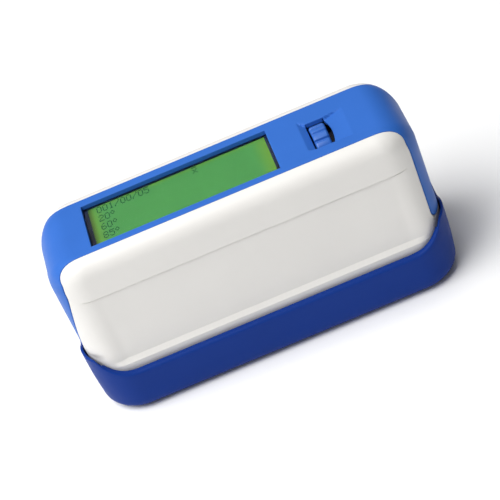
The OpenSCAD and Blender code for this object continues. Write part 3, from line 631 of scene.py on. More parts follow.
def shell_sheet(side, x_stops, corner_stops, z_stops, cut, warp=None):
    """The white skin on one long side: -1 is the front and 1 the rear.

    x_stops and corner_stops are grid lines wanted inside and outside COLUMN_REACH.
    """
    inset = SEAM_GAP + EDGE_ROLL
    over = (STRIP_HALF + inset - HALF_DEPTH + SHOULDER_RADIUS) / SHOULDER_RADIUS
    w_first = SHOULDER_RADIUS * math.asin(over)
    first_z = float(surface_z(w_first))
    corner_x = float(seam_x(CORNER_Z, inset))
    corner_w = float(surface_w(CORNER_Z))
    seam_heights = np.linspace(first_z, CORNER_Z, 200)
    seam_places = seam_x(seam_heights, inset)
    low_w = float(surface_w(BODY_LOW + EDGE_ROLL))
    notch_z = TONGUE_END - inset
    notch = TIP_RADIUS + inset
    notch_heights = notch_z + notch * np.arange(NOTCH_STEPS + 1) / NOTCH_STEPS
    w_stops = [w_first, *surface_w(np.array([*z_stops, *notch_heights])).tolist(), low_w]
    w_stops += [w_first + 0.4, w_first + 1.0, w_first + 1.8]
    w_rows = spaced(w_stops, ROW_STEP)
    x_middle = spaced([-COLUMN_REACH, *x_stops, COLUMN_REACH], COLUMN_STEP)
    low_reach = float(seam_x(BODY_LOW + PLAN_RADIUS, inset)) - COLUMN_REACH
    near_seam = np.linspace(HOLD_X, COLUMN_REACH + low_reach, SEAM_COLUMNS + 1)[:-1]
    stops = np.concatenate([corner_stops, near_seam])
    t = spaced([0, *((stops - COLUMN_REACH) / low_reach).tolist(), 1], 1 / CORNER_COLUMNS)[1:]
    rows = []
    for w in w_rows:
        fan = np.clip(1 - (w - w_first) / FAN_DEPTH, 0, 1) ** 2
        end_w = w + (corner_w - w_first) * fan
        end_x = float(seam_x(surface_z(end_w), inset)) if w > w_first else corner_x
        corner_places = COLUMN_REACH + (end_x - COLUMN_REACH) * t
        reach = COLUMN_REACH + (corner_x - COLUMN_REACH) * t
        seam_z = np.interp(reach, seam_places, seam_heights)
        lift = np.where(reach < seam_places[0], 0, surface_w(seam_z) - w_first)
        corner_w_row = w + lift * fan
        x = np.concatenate([-corner_places[::-1], x_middle, corner_places])
        w_row = np.concatenate([corner_w_row[::-1], np.full(len(x_middle), w), corner_w_row])
        rows.append(np.column_stack([x, surface_z(w_row)]))
    flat = np.array(rows)
    centre = (flat[:-1, :-1] + flat[1:, 1:]) / 2
    if warp is not None:
        flat = warp(flat)
    points, extra = wrapped(flat, side, notch_z, notch)
    count_rows, count_columns = points.shape[:2]
    notch_row = int(np.argmin(np.abs(w_rows - float(surface_w(notch_z)))))

    def keep(i, j):
        if j < extra or j >= count_columns - 1 - extra:
            return i >= notch_row
        return not cut(centre[i, j - extra, 0], centre[i, j - extra, 1])

    faces = grid_faces(count_rows, count_columns, keep)
    if side < 0:
        faces = [tuple(reversed(f)) for f in faces]
    return points.reshape(-1, 3), faces


CREASE_ROWS = [CREASE_Z + drop for drop in
               (0.5, 0.15, 0.0, -0.04, -0.08, -0.12, -0.22, -0.32, -0.41, -0.5, -0.8)]
LEDGE_ROWS = [LEDGE_TOP_Z + 0.5, LEDGE_TOP_Z + 0.12, LEDGE_TOP_Z, LEDGE_TOP_Z - 0.12,
              LEDGE_TOP_Z - 0.95, LEDGE_LOW_Z + 0.12, LEDGE_LOW_Z, LEDGE_LOW_Z - 0.12,
              LEDGE_LOW_Z - 0.5]
HOLE_STEPS = 4            # grid lines on each side of a round hole's middle
BOSS_RADIUS = 4.0
BOSS_BORE = 1.45          # in the front shell, for the screws' threads
BOSS_INSET = 1.0          # how far short of the skin a boss ends
BOSS_START = 0.2          # distance of a boss from the middle plane
BOSS_CHAMFER = 0.3
SCREW_HEAD_RADIUS = 2.7
SCREW_HEAD_HEIGHT = 1.8
SCREW_HOLE = 2.8
SCREW_SHANK_HOLE = 1.5
SCREW_X = SCREW_HIGH[0] - SCREW_HEAD_RADIUS
SCREW_LOW_Z = SCREW_LOW[2] + SCREW_HEAD_RADIUS
SCREW_HIGH_Z = SCREW_HIGH[2] - SCREW_HEAD_RADIUS
SCREW_SEAT_Y = SCREW_HIGH[1] - SCREW_HEAD_HEIGHT
SCREWS = [(x, z) for x in (-SCREW_X, SCREW_X) for z in (SCREW_LOW_Z, SCREW_HIGH_Z)]
DOOR_GAP = 0.35


def round_stops(centre, radius):
    """Grid lines whose crossings fall on a circle at even angles."""
    return [centre + radius * math.tan(math.pi / 4 * k / HOLE_STEPS)
            for k in range(-HOLE_STEPS, HOLE_STEPS + 1)]


def rounded_hole(flat, centre, radius):
    """Moves the square ring of grid points round a hole onto its circle."""
    offset = flat - np.array(centre)
    square = np.max(np.abs(offset), axis=-1)
    length = np.maximum(np.linalg.norm(offset, axis=-1), 1e-6)
    pull = np.clip(1 - np.abs(square - radius) / (0.35 * radius), 0, 1)
    scale = 1 + pull * (square / length - 1)
    return np.array(centre) + offset * scale[..., None]


def in_square(x, z, centre, radius):
    return abs(x - centre[0]) < radius and abs(z - centre[1]) < radius


def in_box(x, z, box):
    return box[0] < x < box[1] and box[2] < z < box[3]


def boss_tube(x, z, y_from, y_to, outer, inner, steps=40):
    """A hollow round boss along Y."""
    angles = even_angles(steps)
    ring = np.column_stack([np.cos(angles), np.zeros(steps), np.sin(angles)])
    return closed_loft([ring * radius + np.array([x, y, z]) for radius, y in
                        ((outer, y_from + BOSS_CHAMFER), (outer, y_to), (inner, y_to),
                         (inner, y_from), (outer - BOSS_CHAMFER, y_from))])


def build_front_shell():
    sheet = shell_sheet(-1, [], [], CREASE_ROWS + LEDGE_ROWS, lambda x, z: False)
    parts = [thicken(*sheet, SHELL_WALL)]
    for x, z in SCREWS:
        inner_face = BOSS_INSET - float(depth_at(abs(x) + BOSS_RADIUS, z))
        parts.append(boss_tube(x, z, -BOSS_START, inner_face, BOSS_RADIUS, BOSS_BORE))
    add_piece("front_shell_skin", joined(*parts), "instrument", "white_shell", white, "front_shell")


def build_rear_shell():
    opening = grown((DOOR_LOW[0], DOOR_HIGH[0], DOOR_LOW[2], DOOR_HIGH[2]), DOOR_GAP + EDGE_ROLL)
    radius = SCREW_HOLE + EDGE_ROLL

    def cut(x, z):
        return in_box(x, z, opening) or any(in_square(x, z, h, radius) for h in SCREWS)

    def warp(flat):
        for hole in SCREWS:
            flat = rounded_hole(flat, hole, radius)
        return flat

    z_stops = [*CREASE_ROWS, *LEDGE_ROWS, *opening[2:], *round_stops(SCREW_LOW_Z, radius),
               *round_stops(SCREW_HIGH_Z, radius)]
    corner_stops = [-opening[0], *round_stops(SCREW_X, radius)]
    sheet = shell_sheet(1, [opening[1]], corner_stops, z_stops, cut, warp)
    parts = [thicken(*sheet, SHELL_WALL)]
    for x, z in SCREWS:
        inner_face = float(depth_at(abs(x) + BOSS_RADIUS, z)) - BOSS_INSET
        parts.append(boss_tube(x, z, BOSS_START, inner_face, BOSS_RADIUS, SCREW_HOLE))
        parts.append(boss_tube(x, z, BOSS_START, SCREW_SEAT_Y, SCREW_HOLE + 0.2, SCREW_SHANK_HOLE))
    add_piece("rear_shell_skin", joined(*parts), "instrument", "white_shell", white, "rear_shell")


# ---- the battery door -------------------------------------------------------

DOOR_WALL = 2.0
GRIP_RIBS = 5
GRIP_PITCH = 1.5
GRIP_HALF = 8.0
GRIP_HEIGHT = 0.35
GRIP_DROP = 2.2           # from the door's top edge to the first rib
BARREL_CHAMFER = 0.25


def build_battery_door():
    low_x, high_x = DOOR_LOW[0] + EDGE_ROLL, DOOR_HIGH[0] - EDGE_ROLL
    barrel = DOOR_WALL / 2
    low_z, high_z = DOOR_LOW[2] + barrel, DOOR_HIGH[2] - EDGE_ROLL
    middle = (low_x + high_x) / 2
    grip_top = high_z - GRIP_DROP
    x_stops = [low_x, high_x, middle - GRIP_HALF - 0.5, middle - GRIP_HALF, middle + GRIP_HALF,
               middle + GRIP_HALF + 0.5]
    z_stops = [low_z, high_z] + [grip_top - GRIP_PITCH * k / 6 for k in range(6 * GRIP_RIBS + 1)]
    xs = spaced(x_stops, 1.6)
    zs = spaced(z_stops, 1.4)[::-1]
    x, z = np.meshgrid(xs, zs)
    phase = (grip_top - z) / GRIP_PITCH
    ribs = np.where((phase > 0) & (phase < GRIP_RIBS), 0.5 - 0.5 * np.cos(TURN * phase), 0)
    beside = smooth(-np.abs(x - middle), -GRIP_HALF - 0.5, -GRIP_HALF)
    recess = panel_recess(x, z) + 0.02
    y = depth_at(x, z) - recess - GRIP_HEIGHT * beside * smooth(ribs, 0.15, 0.85)
    points = np.stack([x, y, z], -1).reshape(-1, 3)
    faces = grid_faces(len(zs), len(xs))
    sheet = thicken(points, faces, DOOR_WALL)
    hinge_y = float(DOOR_HIGH[1]) - barrel
    steps = 24
    angles = even_angles(steps)
    ring = np.column_stack([np.zeros(steps), np.cos(angles), np.sin(angles)])
    knuckle = outward_facing(*loft([
        ring * radius + np.array([at, hinge_y, low_z]) for radius, at in
        ((barrel - BARREL_CHAMFER, low_x - EDGE_ROLL), (barrel, low_x),
         (barrel, high_x), (barrel - BARREL_CHAMFER, high_x + EDGE_ROLL))]))
    add_piece("battery_door_cover", joined(sheet, knuckle),
              "battery_door", "white_shell", white, "battery_door")


# ---- the blue top cover -----------------------------------------------------

END_ARC = END_RADIUS * QUARTER
FLAT_HALF = HALF_LENGTH - END_RADIUS
COVER_COLUMNS = 14.6      # inside this the columns run straight
DISPLAY_MARGIN = 1.5
OPENING = grown((WINDOW_LOW[0], WINDOW_HIGH[0], WINDOW_LOW[1], WINDOW_HIGH[1]), -DISPLAY_MARGIN)
WHEEL_X = (WHEEL_LOW[0] + WHEEL_HIGH[0]) / 2
AXLE_LOW, AXLE_HIGH = box_mm("wheel_axle")
WHEEL_Y = (AXLE_LOW[1] + AXLE_HIGH[1]) / 2
WHEEL_Z = (AXLE_LOW[2] + AXLE_HIGH[2]) / 2
SLOT_HALF_X = 3.7
SLOT_HALF_Y = 8.9
SLOT = (WHEEL_X - SLOT_HALF_X, WHEEL_X + SLOT_HALF_X, WHEEL_Y - SLOT_HALF_Y, WHEEL_Y + SLOT_HALF_Y)
SLOT_BOW = 1.4            # how far the slot's right edge curves outwards
SCOOP_LEFT = WHEEL_X - 6.7
SCOOP_RIGHT = WHEEL_X + 12.0
SCOOP_DEPTH = 1.5
SCOOP_WALL = 2.6          # steepness of the scoops' end walls
USB_MARGIN = 0.5
USB_HOLE = grown((USB_LOW[1], USB_HIGH[1], USB_LOW[2], USB_HIGH[2]), USB_MARGIN)
BUTTON_Z = (BUTTON_LOW[2] + BUTTON_HIGH[2]) / 2
BUTTON_FLANGE = (BUTTON_HIGH[2] - BUTTON_LOW[2]) / 2
BUTTON_RADIUS = BUTTON_FLANGE - 1.2
BUTTON_HOLE = BUTTON_RADIUS + 0.35
SKIN_SEARCH_DEPTH = 9.0   # the skin lies within this of the cover's line
SKIN_SEARCH_STEPS = 36
LEAST_SPACING = 0.06      # between the cover's grid lines


def cover_profile(s):
    """Point and outward direction of the cover's middle line, seen from the front.

    s runs along the line from the top's middle, and is negative to the left.
    """
    far = abs(s)
    sign = -1 if s < 0 else 1
    if far < FLAT_HALF:
        return s, BODY_TOP, 0.0, 1.0
    if far < FLAT_HALF + END_ARC:
        angle = (far - FLAT_HALF) / END_RADIUS
        return (sign * (FLAT_HALF + END_RADIUS * math.sin(angle)),
                ARC_Z + END_RADIUS * math.cos(angle), sign * math.sin(angle), math.cos(angle))
    return sign * HALF_LENGTH, ARC_Z - (far - FLAT_HALF - END_ARC), sign * 1.0, 0.0


def side_s(z):
    """Distance along the cover's line down to height z on an end."""
    return FLAT_HALF + END_ARC + ARC_Z - z


def on_skin(s, y):
    """Points of the skin under the cover's line at s, for places y across it."""
    x0, z0, nx, nz = cover_profile(s)
    low = np.zeros_like(y) - 0.01
    high = np.full_like(y, SKIN_SEARCH_DEPTH)
    for _ in range(SKIN_SEARCH_STEPS):
        middle = (low + high) / 2
        inside = outside(x0 - nx * middle, y, z0 - nz * middle) < 0
        high = np.where(inside, middle, high)
        low = np.where(inside, low, middle)
    return np.column_stack([x0 - nx * high, y, z0 - nz * high])


def scoop(x, y):
    """How far the two thumb scoops sink below the top."""
    right_slope = SCOOP_DEPTH / (SCOOP_RIGHT - SLOT[1])
    away = x - SLOT[1]
    right = np.minimum(np.minimum(right_slope * (SCOOP_RIGHT + 0.025 * y - x),
                                  SCOOP_WALL * (y - SLOT[2] + 0.07 * away)),
                       SCOOP_WALL * (SLOT[3] + 0.15 * away - y))
    right = np.where(x > SLOT[1] - 0.01, right, 0)
    left_slope = SCOOP_DEPTH / (SLOT[0] - SCOOP_LEFT)
    back = SLOT[0] - x
    left = np.minimum(np.minimum(left_slope * (x - SCOOP_LEFT),
                                 SCOOP_WALL * (y - SLOT[2] - 0.35 * back)),
                      SCOOP_WALL * (SLOT[3] + 1.1 * back - y))
    left = np.where(x < SLOT[0] + 0.01, left, 0)
    depth = np.clip(np.maximum(left, right), 0, SCOOP_DEPTH)
    return np.where(np.abs(x) < FLAT_HALF, depth, 0)


def tongue_half(z, end):
    """Half-width of the tongue's sheet at height z on one end, its tip rounded."""
    p = around(seam_x(z, -EDGE_ROLL), z) + lean(z, end)
    radius = TIP_RADIUS - EDGE_ROLL
    up = min(max(z - TONGUE_END - EDGE_ROLL, 0), radius)
    p += radius - math.sqrt(radius**2 - (radius - up) ** 2)
    return float(outline(p, z)[1])


def grid_lines(stops, step, fine_stops, fine_step):
    """Lines at both spacings, with the coarse ones' stops kept exactly."""
    lines = np.concatenate([spaced(stops, step), spaced(fine_stops, fine_step)])
    lines = np.unique(np.round(lines, 3))
    lines = lines[np.concatenate([[True], np.diff(lines) > LEAST_SPACING])]
    for must in stops:
        lines[np.argmin(np.abs(lines - must))] = must
    return lines


def cover_sheet():
    """The blue cover's skin: over the top, round both ends and down to the tongues' tips."""
    roll = EDGE_ROLL
    tip = TONGUE_END + roll
    slot, opening, usb = (grown(box, roll) for box in (SLOT, OPENING, USB_HOLE))
    button = BUTTON_HOLE + roll
    button_s = -side_s(BUTTON_Z)
    tip_stops = [side_s(tip + (TIP_RADIUS - roll) * (1 - math.cos(c))) for c in quarter_turn(8)]
    s_stops = [-side_s(tip), side_s(tip), -FLAT_HALF, FLAT_HALF, -FLAT_HALF - END_ARC,
               FLAT_HALF + END_ARC, *tip_stops, *[-t for t in tip_stops], *opening[:2], *slot[:2],
               *round_stops(button_s, button), -side_s(usb[2]), -side_s(usb[3])]
    fine_s = [SCOOP_LEFT - 0.6, slot[0], slot[1], slot[1] + 3.0, SCOOP_RIGHT + 0.8]
    s_lines = grid_lines(s_stops, 1.3, fine_s, 0.55)
    y_stops = [-COVER_COLUMNS, COVER_COLUMNS, *opening[2:], *slot[2:], *usb[:2],
               *round_stops(0, button)]
    fine_y = [slot[2] - 1.6, slot[2], slot[2] + 1.2, slot[3] - 0.6, slot[3], slot[3] + 4.0]
    y_lines = grid_lines(y_stops, 1.2, fine_y, 0.4)
    edge_share = np.array([0.25, 0.5, 0.72, 0.9, 1.0])
    rows = []
    for s in s_lines:
        half = STRIP_HALF - roll
        for _ in range(6):
            half = float(seam_half(on_skin(s, np.array([half]))[0, 2])) - roll
        if abs(s) > FLAT_HALF + END_ARC:
            half = tongue_half(cover_profile(s)[1], s)
        reach = COVER_COLUMNS * min(1, half / (COVER_COLUMNS + 1.2))
        side = reach + (half - reach) * edge_share
        y = np.concatenate([-side[::-1], y_lines * (reach / COVER_COLUMNS), side])
        rows.append(np.column_stack([np.full(len(y), s), y]))
    flat = np.array(rows)
    count = flat.shape[1]
    flat = rounded_hole(flat, (button_s, 0), button)
    across = np.clip((flat[..., 1] - slot[2]) / (slot[3] - slot[2]), 0, 1)
    bow = SLOT_BOW * np.sin(math.pi * across) ** 0.8
    near = np.clip(1 - np.abs(flat[..., 0] - slot[1]) / 5.0, 0, 1)
    flat[..., 0] += bow * near * (flat[..., 0] > slot[0] + 1)
    points = []
    for line in flat:
        if np.ptp(line[:, 0]) < 1e-9:
            points.append(on_skin(line[0, 0], line[:, 1]))
        else:
            points.append(np.concatenate([on_skin(s, np.array([y])) for s, y in line]))
    points = np.array(points)
    sink = scoop(points[..., 0], points[..., 1])
    points[..., 2] -= np.where(points[..., 2] > BODY_TOP - 0.05, sink, 0)
    centre_s = (s_lines[:-1] + s_lines[1:]) / 2
    across_lines = np.concatenate([np.full(len(edge_share), -99.0), y_lines,
                                   np.full(len(edge_share), 99.0)])
    centre_y = (across_lines[:-1] + across_lines[1:]) / 2
    usb_s = (-side_s(usb[2]), -side_s(usb[3]), usb[0], usb[1])

    def keep(i, j):
        s, y = centre_s[i], centre_y[j]
        hit = in_box(s, y, opening) or in_box(s, y, slot) or in_box(s, y, usb_s)
        return not (hit or in_square(s, y, (button_s, 0), button))

    faces = [tuple(reversed(f)) for f in grid_faces(len(s_lines), count, keep)]
    return points.reshape(-1, 3), faces


def build_top_cover():
    add_piece("top_cover_skin", thicken(*cover_sheet(), COVER_WALL),
              "instrument", "blue_cover", cover_blue, "top_cover")


# ---- the scroll wheel -------------------------------------------------------

WHEEL_RADIUS = 10.0
WHEEL_HALF = (WHEEL_HIGH[0] - WHEEL_LOW[0]) / 2
GROOVES = 15
GROOVE_PHASE = math.radians(6.5)
GROOVE_HALF_ANGLE = math.radians(3.0)
GROOVE_DEPTH = 0.75
WHEEL_ROUND = 0.9
CROWN_HEIGHT = 0.12       # how far each rib bulges between its grooves
AXLE_RADIUS = 1.5


def build_scroll_wheel():
    steps = GROOVES * 24
    angles = even_angles(steps)
    pitch = TURN / GROOVES
    off = (angles + GROOVE_PHASE + pitch / 2) % pitch - pitch / 2
    dip = GROOVE_DEPTH * (1 - smooth(np.abs(off), 0.2 * GROOVE_HALF_ANGLE, 1.5 * GROOVE_HALF_ANGLE))
    crown = CROWN_HEIGHT * (1 - np.cos(TURN * off / pitch)) / 2

    def ring(x, radius):
        return np.column_stack([np.full(steps, x), radius * np.sin(angles), radius * np.cos(angles)])

    rounded = [(WHEEL_HALF - WHEEL_ROUND * (1 - math.sin(turn)), WHEEL_ROUND * (1 - math.cos(turn)))
               for turn in quarter_turn(6)]
    outer = sorted(set((round(side * x, 5), round(inset, 5))
                       for side in (-1, 1) for x, inset in rounded))
    loops = [ring(x, WHEEL_RADIUS - dip + crown - CROWN_HEIGHT - inset) for x, inset in outer]
    hub = [(WHEEL_HALF, 7.6), (WHEEL_HALF - 0.25, 7.3), (WHEEL_HALF - 0.9, 7.1),
           (WHEEL_HALF - 0.9, 3.6), (WHEEL_HALF - 0.3, 3.3), (WHEEL_HALF - 0.1, 3.0),
           (WHEEL_HALF - 0.1, AXLE_RADIUS + 0.02)]
    loops += [ring(x, np.full(steps, r)) for x, r in hub]
    loops += [ring(-x, np.full(steps, r)) for x, r in reversed(hub)]
    points, faces = closed_loft(loops)
    points = points + np.array([WHEEL_X, WHEEL_Y, WHEEL_Z])
    add_piece("scroll_wheel_ribbed", (points, faces),
              "scroll_wheel", "blue_control", wheel_blue, "scroll_wheel", sharp_from=50)


# ---- the operate button -----------------------------------------------------

BUTTON_BEND = 0.75        # rounding of the cap's edge


def build_operate_button():
    radius = BUTTON_RADIUS
    depth = BUTTON_HIGH[0] - BUTTON_LOW[0]
    flange_at = depth - 2.0
    dish = ((0.25, 0.26), (0.5, 0.19), (0.68, 0.08), (0.76, 0.02), (0.82, 0.0))
    profile = [(0.0001, 0.28), *[(radius * share, sink) for share, sink in dish]]
    profile += [(radius - BUTTON_BEND * (1 - math.sin(turn)), BUTTON_BEND * (1 - math.cos(turn)))
                for turn in quarter_turn(6)[1:]]
    profile += [(radius, flange_at), (BUTTON_FLANGE - 0.15, flange_at),
                (BUTTON_FLANGE, flange_at + 0.15), (BUTTON_FLANGE, flange_at + 1.0),
                (1.5, flange_at + 1.0), (1.5, depth - 0.15), (1.35, depth), (0.0001, depth)]
    points, faces = turned(profile, 72)
    points = np.column_stack([points[:, 2] + BUTTON_LOW[0], points[:, 0], points[:, 1] + BUTTON_Z])
    add_piece("operate_button_cap", outward_facing(points, faces),
              "operate_button", "blue_control", wheel_blue, "operate_button")


# ---- the holder -------------------------------------------------------------

HOLDER_HALF_LENGTH = HOLDER_HIGH[0]
HOLDER_HALF_DEPTH = HOLDER_HIGH[1]
HOLDER_RADIUS = 17.6
HOLDER_BASE = HOLDER_LOW[2]
EAR_TOP = HOLDER_HIGH[2]
RIM_LOW = 20.8
SWEEP_RADIUS = 18.8
SWEEP_X = HOLDER_HALF_LENGTH - 1.6 - SWEEP_RADIUS
SWEEP_BLEND = 0.8         # softness where the sweep meets the top of the ears
DIP_DEPTH = 4.2           # the finger dip in the middle of each end
DIP_HALF = 11.0
CAVITY_GAP = 0.4
CAVITY_ROUND = 3.2        # rounding along the cavity's floor
EAR_WALL = 1.1
EAR_HALF = 23.4
EAR_LEDGE = 24.0
FLOOR_TOP = 3.2
WELL_GAP = 0.35           # the tile's well
WELL_RADIUS = 0.5
WELL_FLOOR = 1.4
RIB_X = 68.0              # the two ribs that the instrument stands on
RIB_MIDDLE = 0.95
RIB_SIZE = (3.0, 34.0, 1.95)
LOW_ROUND = 5.0
RIM_ROUND = 1.3
END_DRAFT = 1.3           # how far the ends slope in towards the bottom
DRAFT_HEIGHT = 24.0


def rounded_loop(half_x, half_y, radius, side_share, end_share, arc):
    """A closed plan outline, anticlockwise from the front's left, as matching points."""
    x0, y0 = half_x - radius, half_y - radius
    points = [(x0 * f, -half_y) for f in side_share]
    points += [(x0 + radius * math.sin(a), -y0 - radius * math.cos(a)) for a in arc]
    points += [(half_x, y0 * f) for f in end_share]
    points += [(x0 + radius * math.cos(a), y0 + radius * math.sin(a)) for a in arc]
    points += [(-x0 * f, half_y) for f in side_share]
    points += [(-x0 - radius * math.sin(a), y0 + radius * math.cos(a)) for a in arc]
    points += [(-half_x, -y0 * f) for f in end_share]
    points += [(-x0 - radius * math.cos(a), -y0 - radius * math.sin(a)) for a in arc]
    return np.array(points)


SIDE_SHARE = np.linspace(-1, 1, 61)[1:-1]
END_SHARE = np.linspace(-1, 1, 25)[1:-1]
EAR_ANGLE = math.acos((EAR_HALF - HOLDER_HALF_DEPTH + HOLDER_RADIUS) / HOLDER_RADIUS)
ARC = np.unique(np.concatenate([
    np.linspace(0, QUARTER, 33), np.linspace(EAR_ANGLE - 0.06, EAR_ANGLE + 0.06, 13)]))


HOLDER_PLAN = (HOLDER_HALF_LENGTH, HOLDER_HALF_DEPTH, HOLDER_RADIUS)
CAVITY_PLAN = (HALF_LENGTH + CAVITY_GAP, HALF_DEPTH + CAVITY_GAP, PLAN_RADIUS + CAVITY_GAP)


def plan_loop(plan, inset, z):
    """A plan's outline, drawn in by inset, at height z."""
    xy = rounded_loop(*[size - inset for size in plan], SIDE_SHARE, END_SHARE, ARC)
    return np.column_stack([xy, np.full(len(xy), z)])


def rim_z(x, y):
    """Height of the rim: low along the sides, sweeping up to the two ends."""
    top = EAR_TOP - DIP_DEPTH * (1 - smooth(np.abs(y), 0, DIP_HALF))
    along = np.clip(np.abs(x) - SWEEP_X, 0, SWEEP_RADIUS)
    sweep = RIM_LOW + SWEEP_RADIUS - np.sqrt(SWEEP_RADIUS**2 - along**2)
    return (sweep + top - np.sqrt((sweep - top) ** 2 + SWEEP_BLEND**2)) / 2


def drafted(points):
    """The ends slope in a little towards the bottom."""
    share = np.clip(1 - (points[:, 2] - HOLDER_BASE) / DRAFT_HEIGHT, 0, 1) ** 2
    moved = points.copy()
    moved[:, 0] *= 1 - END_DRAFT * share / HOLDER_HALF_LENGTH
    return moved


def build_holder_shell():
    loops = [drafted(plan_loop(HOLDER_PLAN, LOW_ROUND * (1 - math.sin(turn)),
                               HOLDER_BASE + LOW_ROUND * (1 - math.cos(turn))))
             for turn in quarter_turn(8)]
    outer = plan_loop(HOLDER_PLAN, 0, 0)
    outer_rim = rim_z(outer[:, 0], outer[:, 1])
    for share in (0.2, 0.4, 0.6, 0.8):
        ring = outer.copy()
        ring[:, 2] = HOLDER_BASE + LOW_ROUND + share * (outer_rim - HOLDER_BASE - LOW_ROUND)
        loops.append(drafted(ring))

    cavity = plan_loop(CAVITY_PLAN, 0, 0)
    thin = plan_loop(HOLDER_PLAN, EAR_WALL, 0)
    beside = smooth(np.abs(outer[:, 1]), EAR_HALF - 0.3, EAR_HALF + 0.3)[:, None]
    tall = smooth(outer_rim, EAR_LEDGE + 0.4, EAR_LEDGE + 2.0)[:, None]
    inner = thin + (cavity - thin) * (1 - (1 - beside) * tall)
    width = np.linalg.norm(inner[:, :2] - outer[:, :2], axis=1)[:, None]
    inward = (inner[:, :2] - outer[:, :2]) / width
    rounding = np.minimum(RIM_ROUND, 0.42 * width)
    inner_rounding = 0.6 * rounding

    def rim_ring(offset, drop):
        xy = outer[:, :2] + inward * offset
        return np.column_stack([xy, rim_z(xy[:, 0], xy[:, 1]) - drop[:, 0]])

    loops += [rim_ring(rounding * (1 - math.cos(turn)), rounding * (1 - math.sin(turn)))
              for turn in quarter_turn(6)]
    loops += [rim_ring(width - inner_rounding * (1 - math.sin(turn)),
                       inner_rounding * (1 - math.cos(turn))) for turn in quarter_turn(6)]
    top_inner = rim_z(inner[:, 0], inner[:, 1]) - rounding[:, 0]
    ledge = np.minimum(EAR_LEDGE, top_inner - 0.3)
    loops.append(np.column_stack([inner[:, :2], ledge]))
    loops.append(np.column_stack([cavity[:, :2], ledge - 0.15]))
    loops += [plan_loop(CAVITY_PLAN, CAVITY_ROUND * (1 - math.cos(turn)),
                        FLOOR_TOP + CAVITY_ROUND * (1 - math.sin(turn))) for turn in quarter_turn(6)]
    tile_half = (TILE_HIGH - TILE_LOW) / 2 + WELL_GAP
    well = rounded_loop(tile_half[0], tile_half[1], WELL_RADIUS, SIDE_SHARE, END_SHARE, ARC)
    loops += [np.column_stack([well, np.full(len(well), z)]) for z in (FLOOR_TOP, WELL_FLOOR)]
    body = outward_facing(*loft(loops))
    ribs = [soft_block((side * RIB_X, 0, FLOOR_TOP + RIB_MIDDLE), RIB_SIZE, 0.4)
            for side in (-1, 1)]
    add_piece("holder_shell_skin", joined(body, *ribs),
              "holder", "blue_holder", holder_blue, "holder_shell")


def soft_block(centre, size, radius):
    """A block with rounded upright corners and a rounded top edge."""
    half_x, half_y, height = size[0] / 2, size[1] / 2, size[2]
    arc = np.linspace(0, QUARTER, 6)
    shares = np.array([0.0])
    loops = []
    base = centre[2] - height / 2
    top = base + height
    for inset, z in ((0, base), (0, top - radius), (0.3 * radius, top - 0.3 * radius),
                     (radius, top)):
        xy = rounded_loop(half_x - inset, half_y - inset, radius * 1.3 - inset, shares, shares, arc)
        loops.append(np.column_stack([xy + np.array(centre[:2]), np.full(len(xy), z)]))
    return outward_facing(*loft(loops))


# ---- the display's figures --------------------------------------------------

DIGITS = {
    "0": ("01110", "10001", "10001", "10001", "10001", "10001", "01110"),
    "1": ("00100", "01100", "00100", "00100", "00100", "00100", "01110"),
    "2": ("01110", "10001", "00001", "00110", "01000", "10000", "11111"),
    "5": ("11111", "10000", "11110", "00001", "00001", "10001", "01110"),
    "6": ("00110", "01000", "10000", "11110", "10001", "10001", "01110"),
    "8": ("01110", "10001", "10001", "01110", "10001", "10001", "01110"),
    "/": ("00001", "00001", "00010", "00100", "01000", "10000", "10000"),
    "degree": ("01100", "10010", "10010", "01100", "00000", "00000", "00000"),
    "mean": ("11111", "00000", "10001", "01010", "00100", "01010", "10001"),
}
DOT_X = 0.426
DOT_Y = 0.60
DOT_FILL = 0.86
CHARACTER = 6 * DOT_X
LINE = 5.68
FIRST_X = -50.3
FIRST_Y = 12.3
READINGS = (("0", "0", "1", "/", "0", "0", "/", "0", "5"), ("2", "0", "degree"),
            ("6", "0", "degree"), ("8", "5", "degree"))
MEAN_X = -9.1
FIGURE_HEIGHT = 0.06
FIGURE_GAP = 0.005        # above the display


def build_figures():
    top = PANEL_HIGH[2]
    parts = []

    def character(name, x, y):
        for row, line in enumerate(DIGITS[name]):
            for column, mark in enumerate(line):
                if mark == "1":
                    parts.append(dot(x + (column + 0.5) * DOT_X, y - (row + 0.5) * DOT_Y, top))

    for k, reading in enumerate(READINGS):
        for i, name in enumerate(reading):
            character(name, FIRST_X + i * CHARACTER, FIRST_Y - k * LINE)
    character("mean", MEAN_X, FIRST_Y)
    add_piece("display_figures", joined(*parts), "instrument", "screen", figure_ink)


def dot(x, y, z):
    """One dot of a character: a low block on the display."""
    dx, dy = DOT_X * DOT_FILL / 2, DOT_Y * DOT_FILL / 2
    points = [(x + sx * dx, y + sy * dy, z + sz * FIGURE_HEIGHT + FIGURE_GAP)
              for sz in (0, 1) for sx, sy in ((-1, -1), (1, -1), (1, 1), (-1, 1))]
    faces = [(3, 2, 1, 0), (4, 5, 6, 7), (0, 1, 5, 4), (1, 2, 6, 5), (2, 3, 7, 6), (3, 0, 4, 7)]
    return np.array(points), faces


# ---- materials of the CAD nodes that stay -----------------------------------

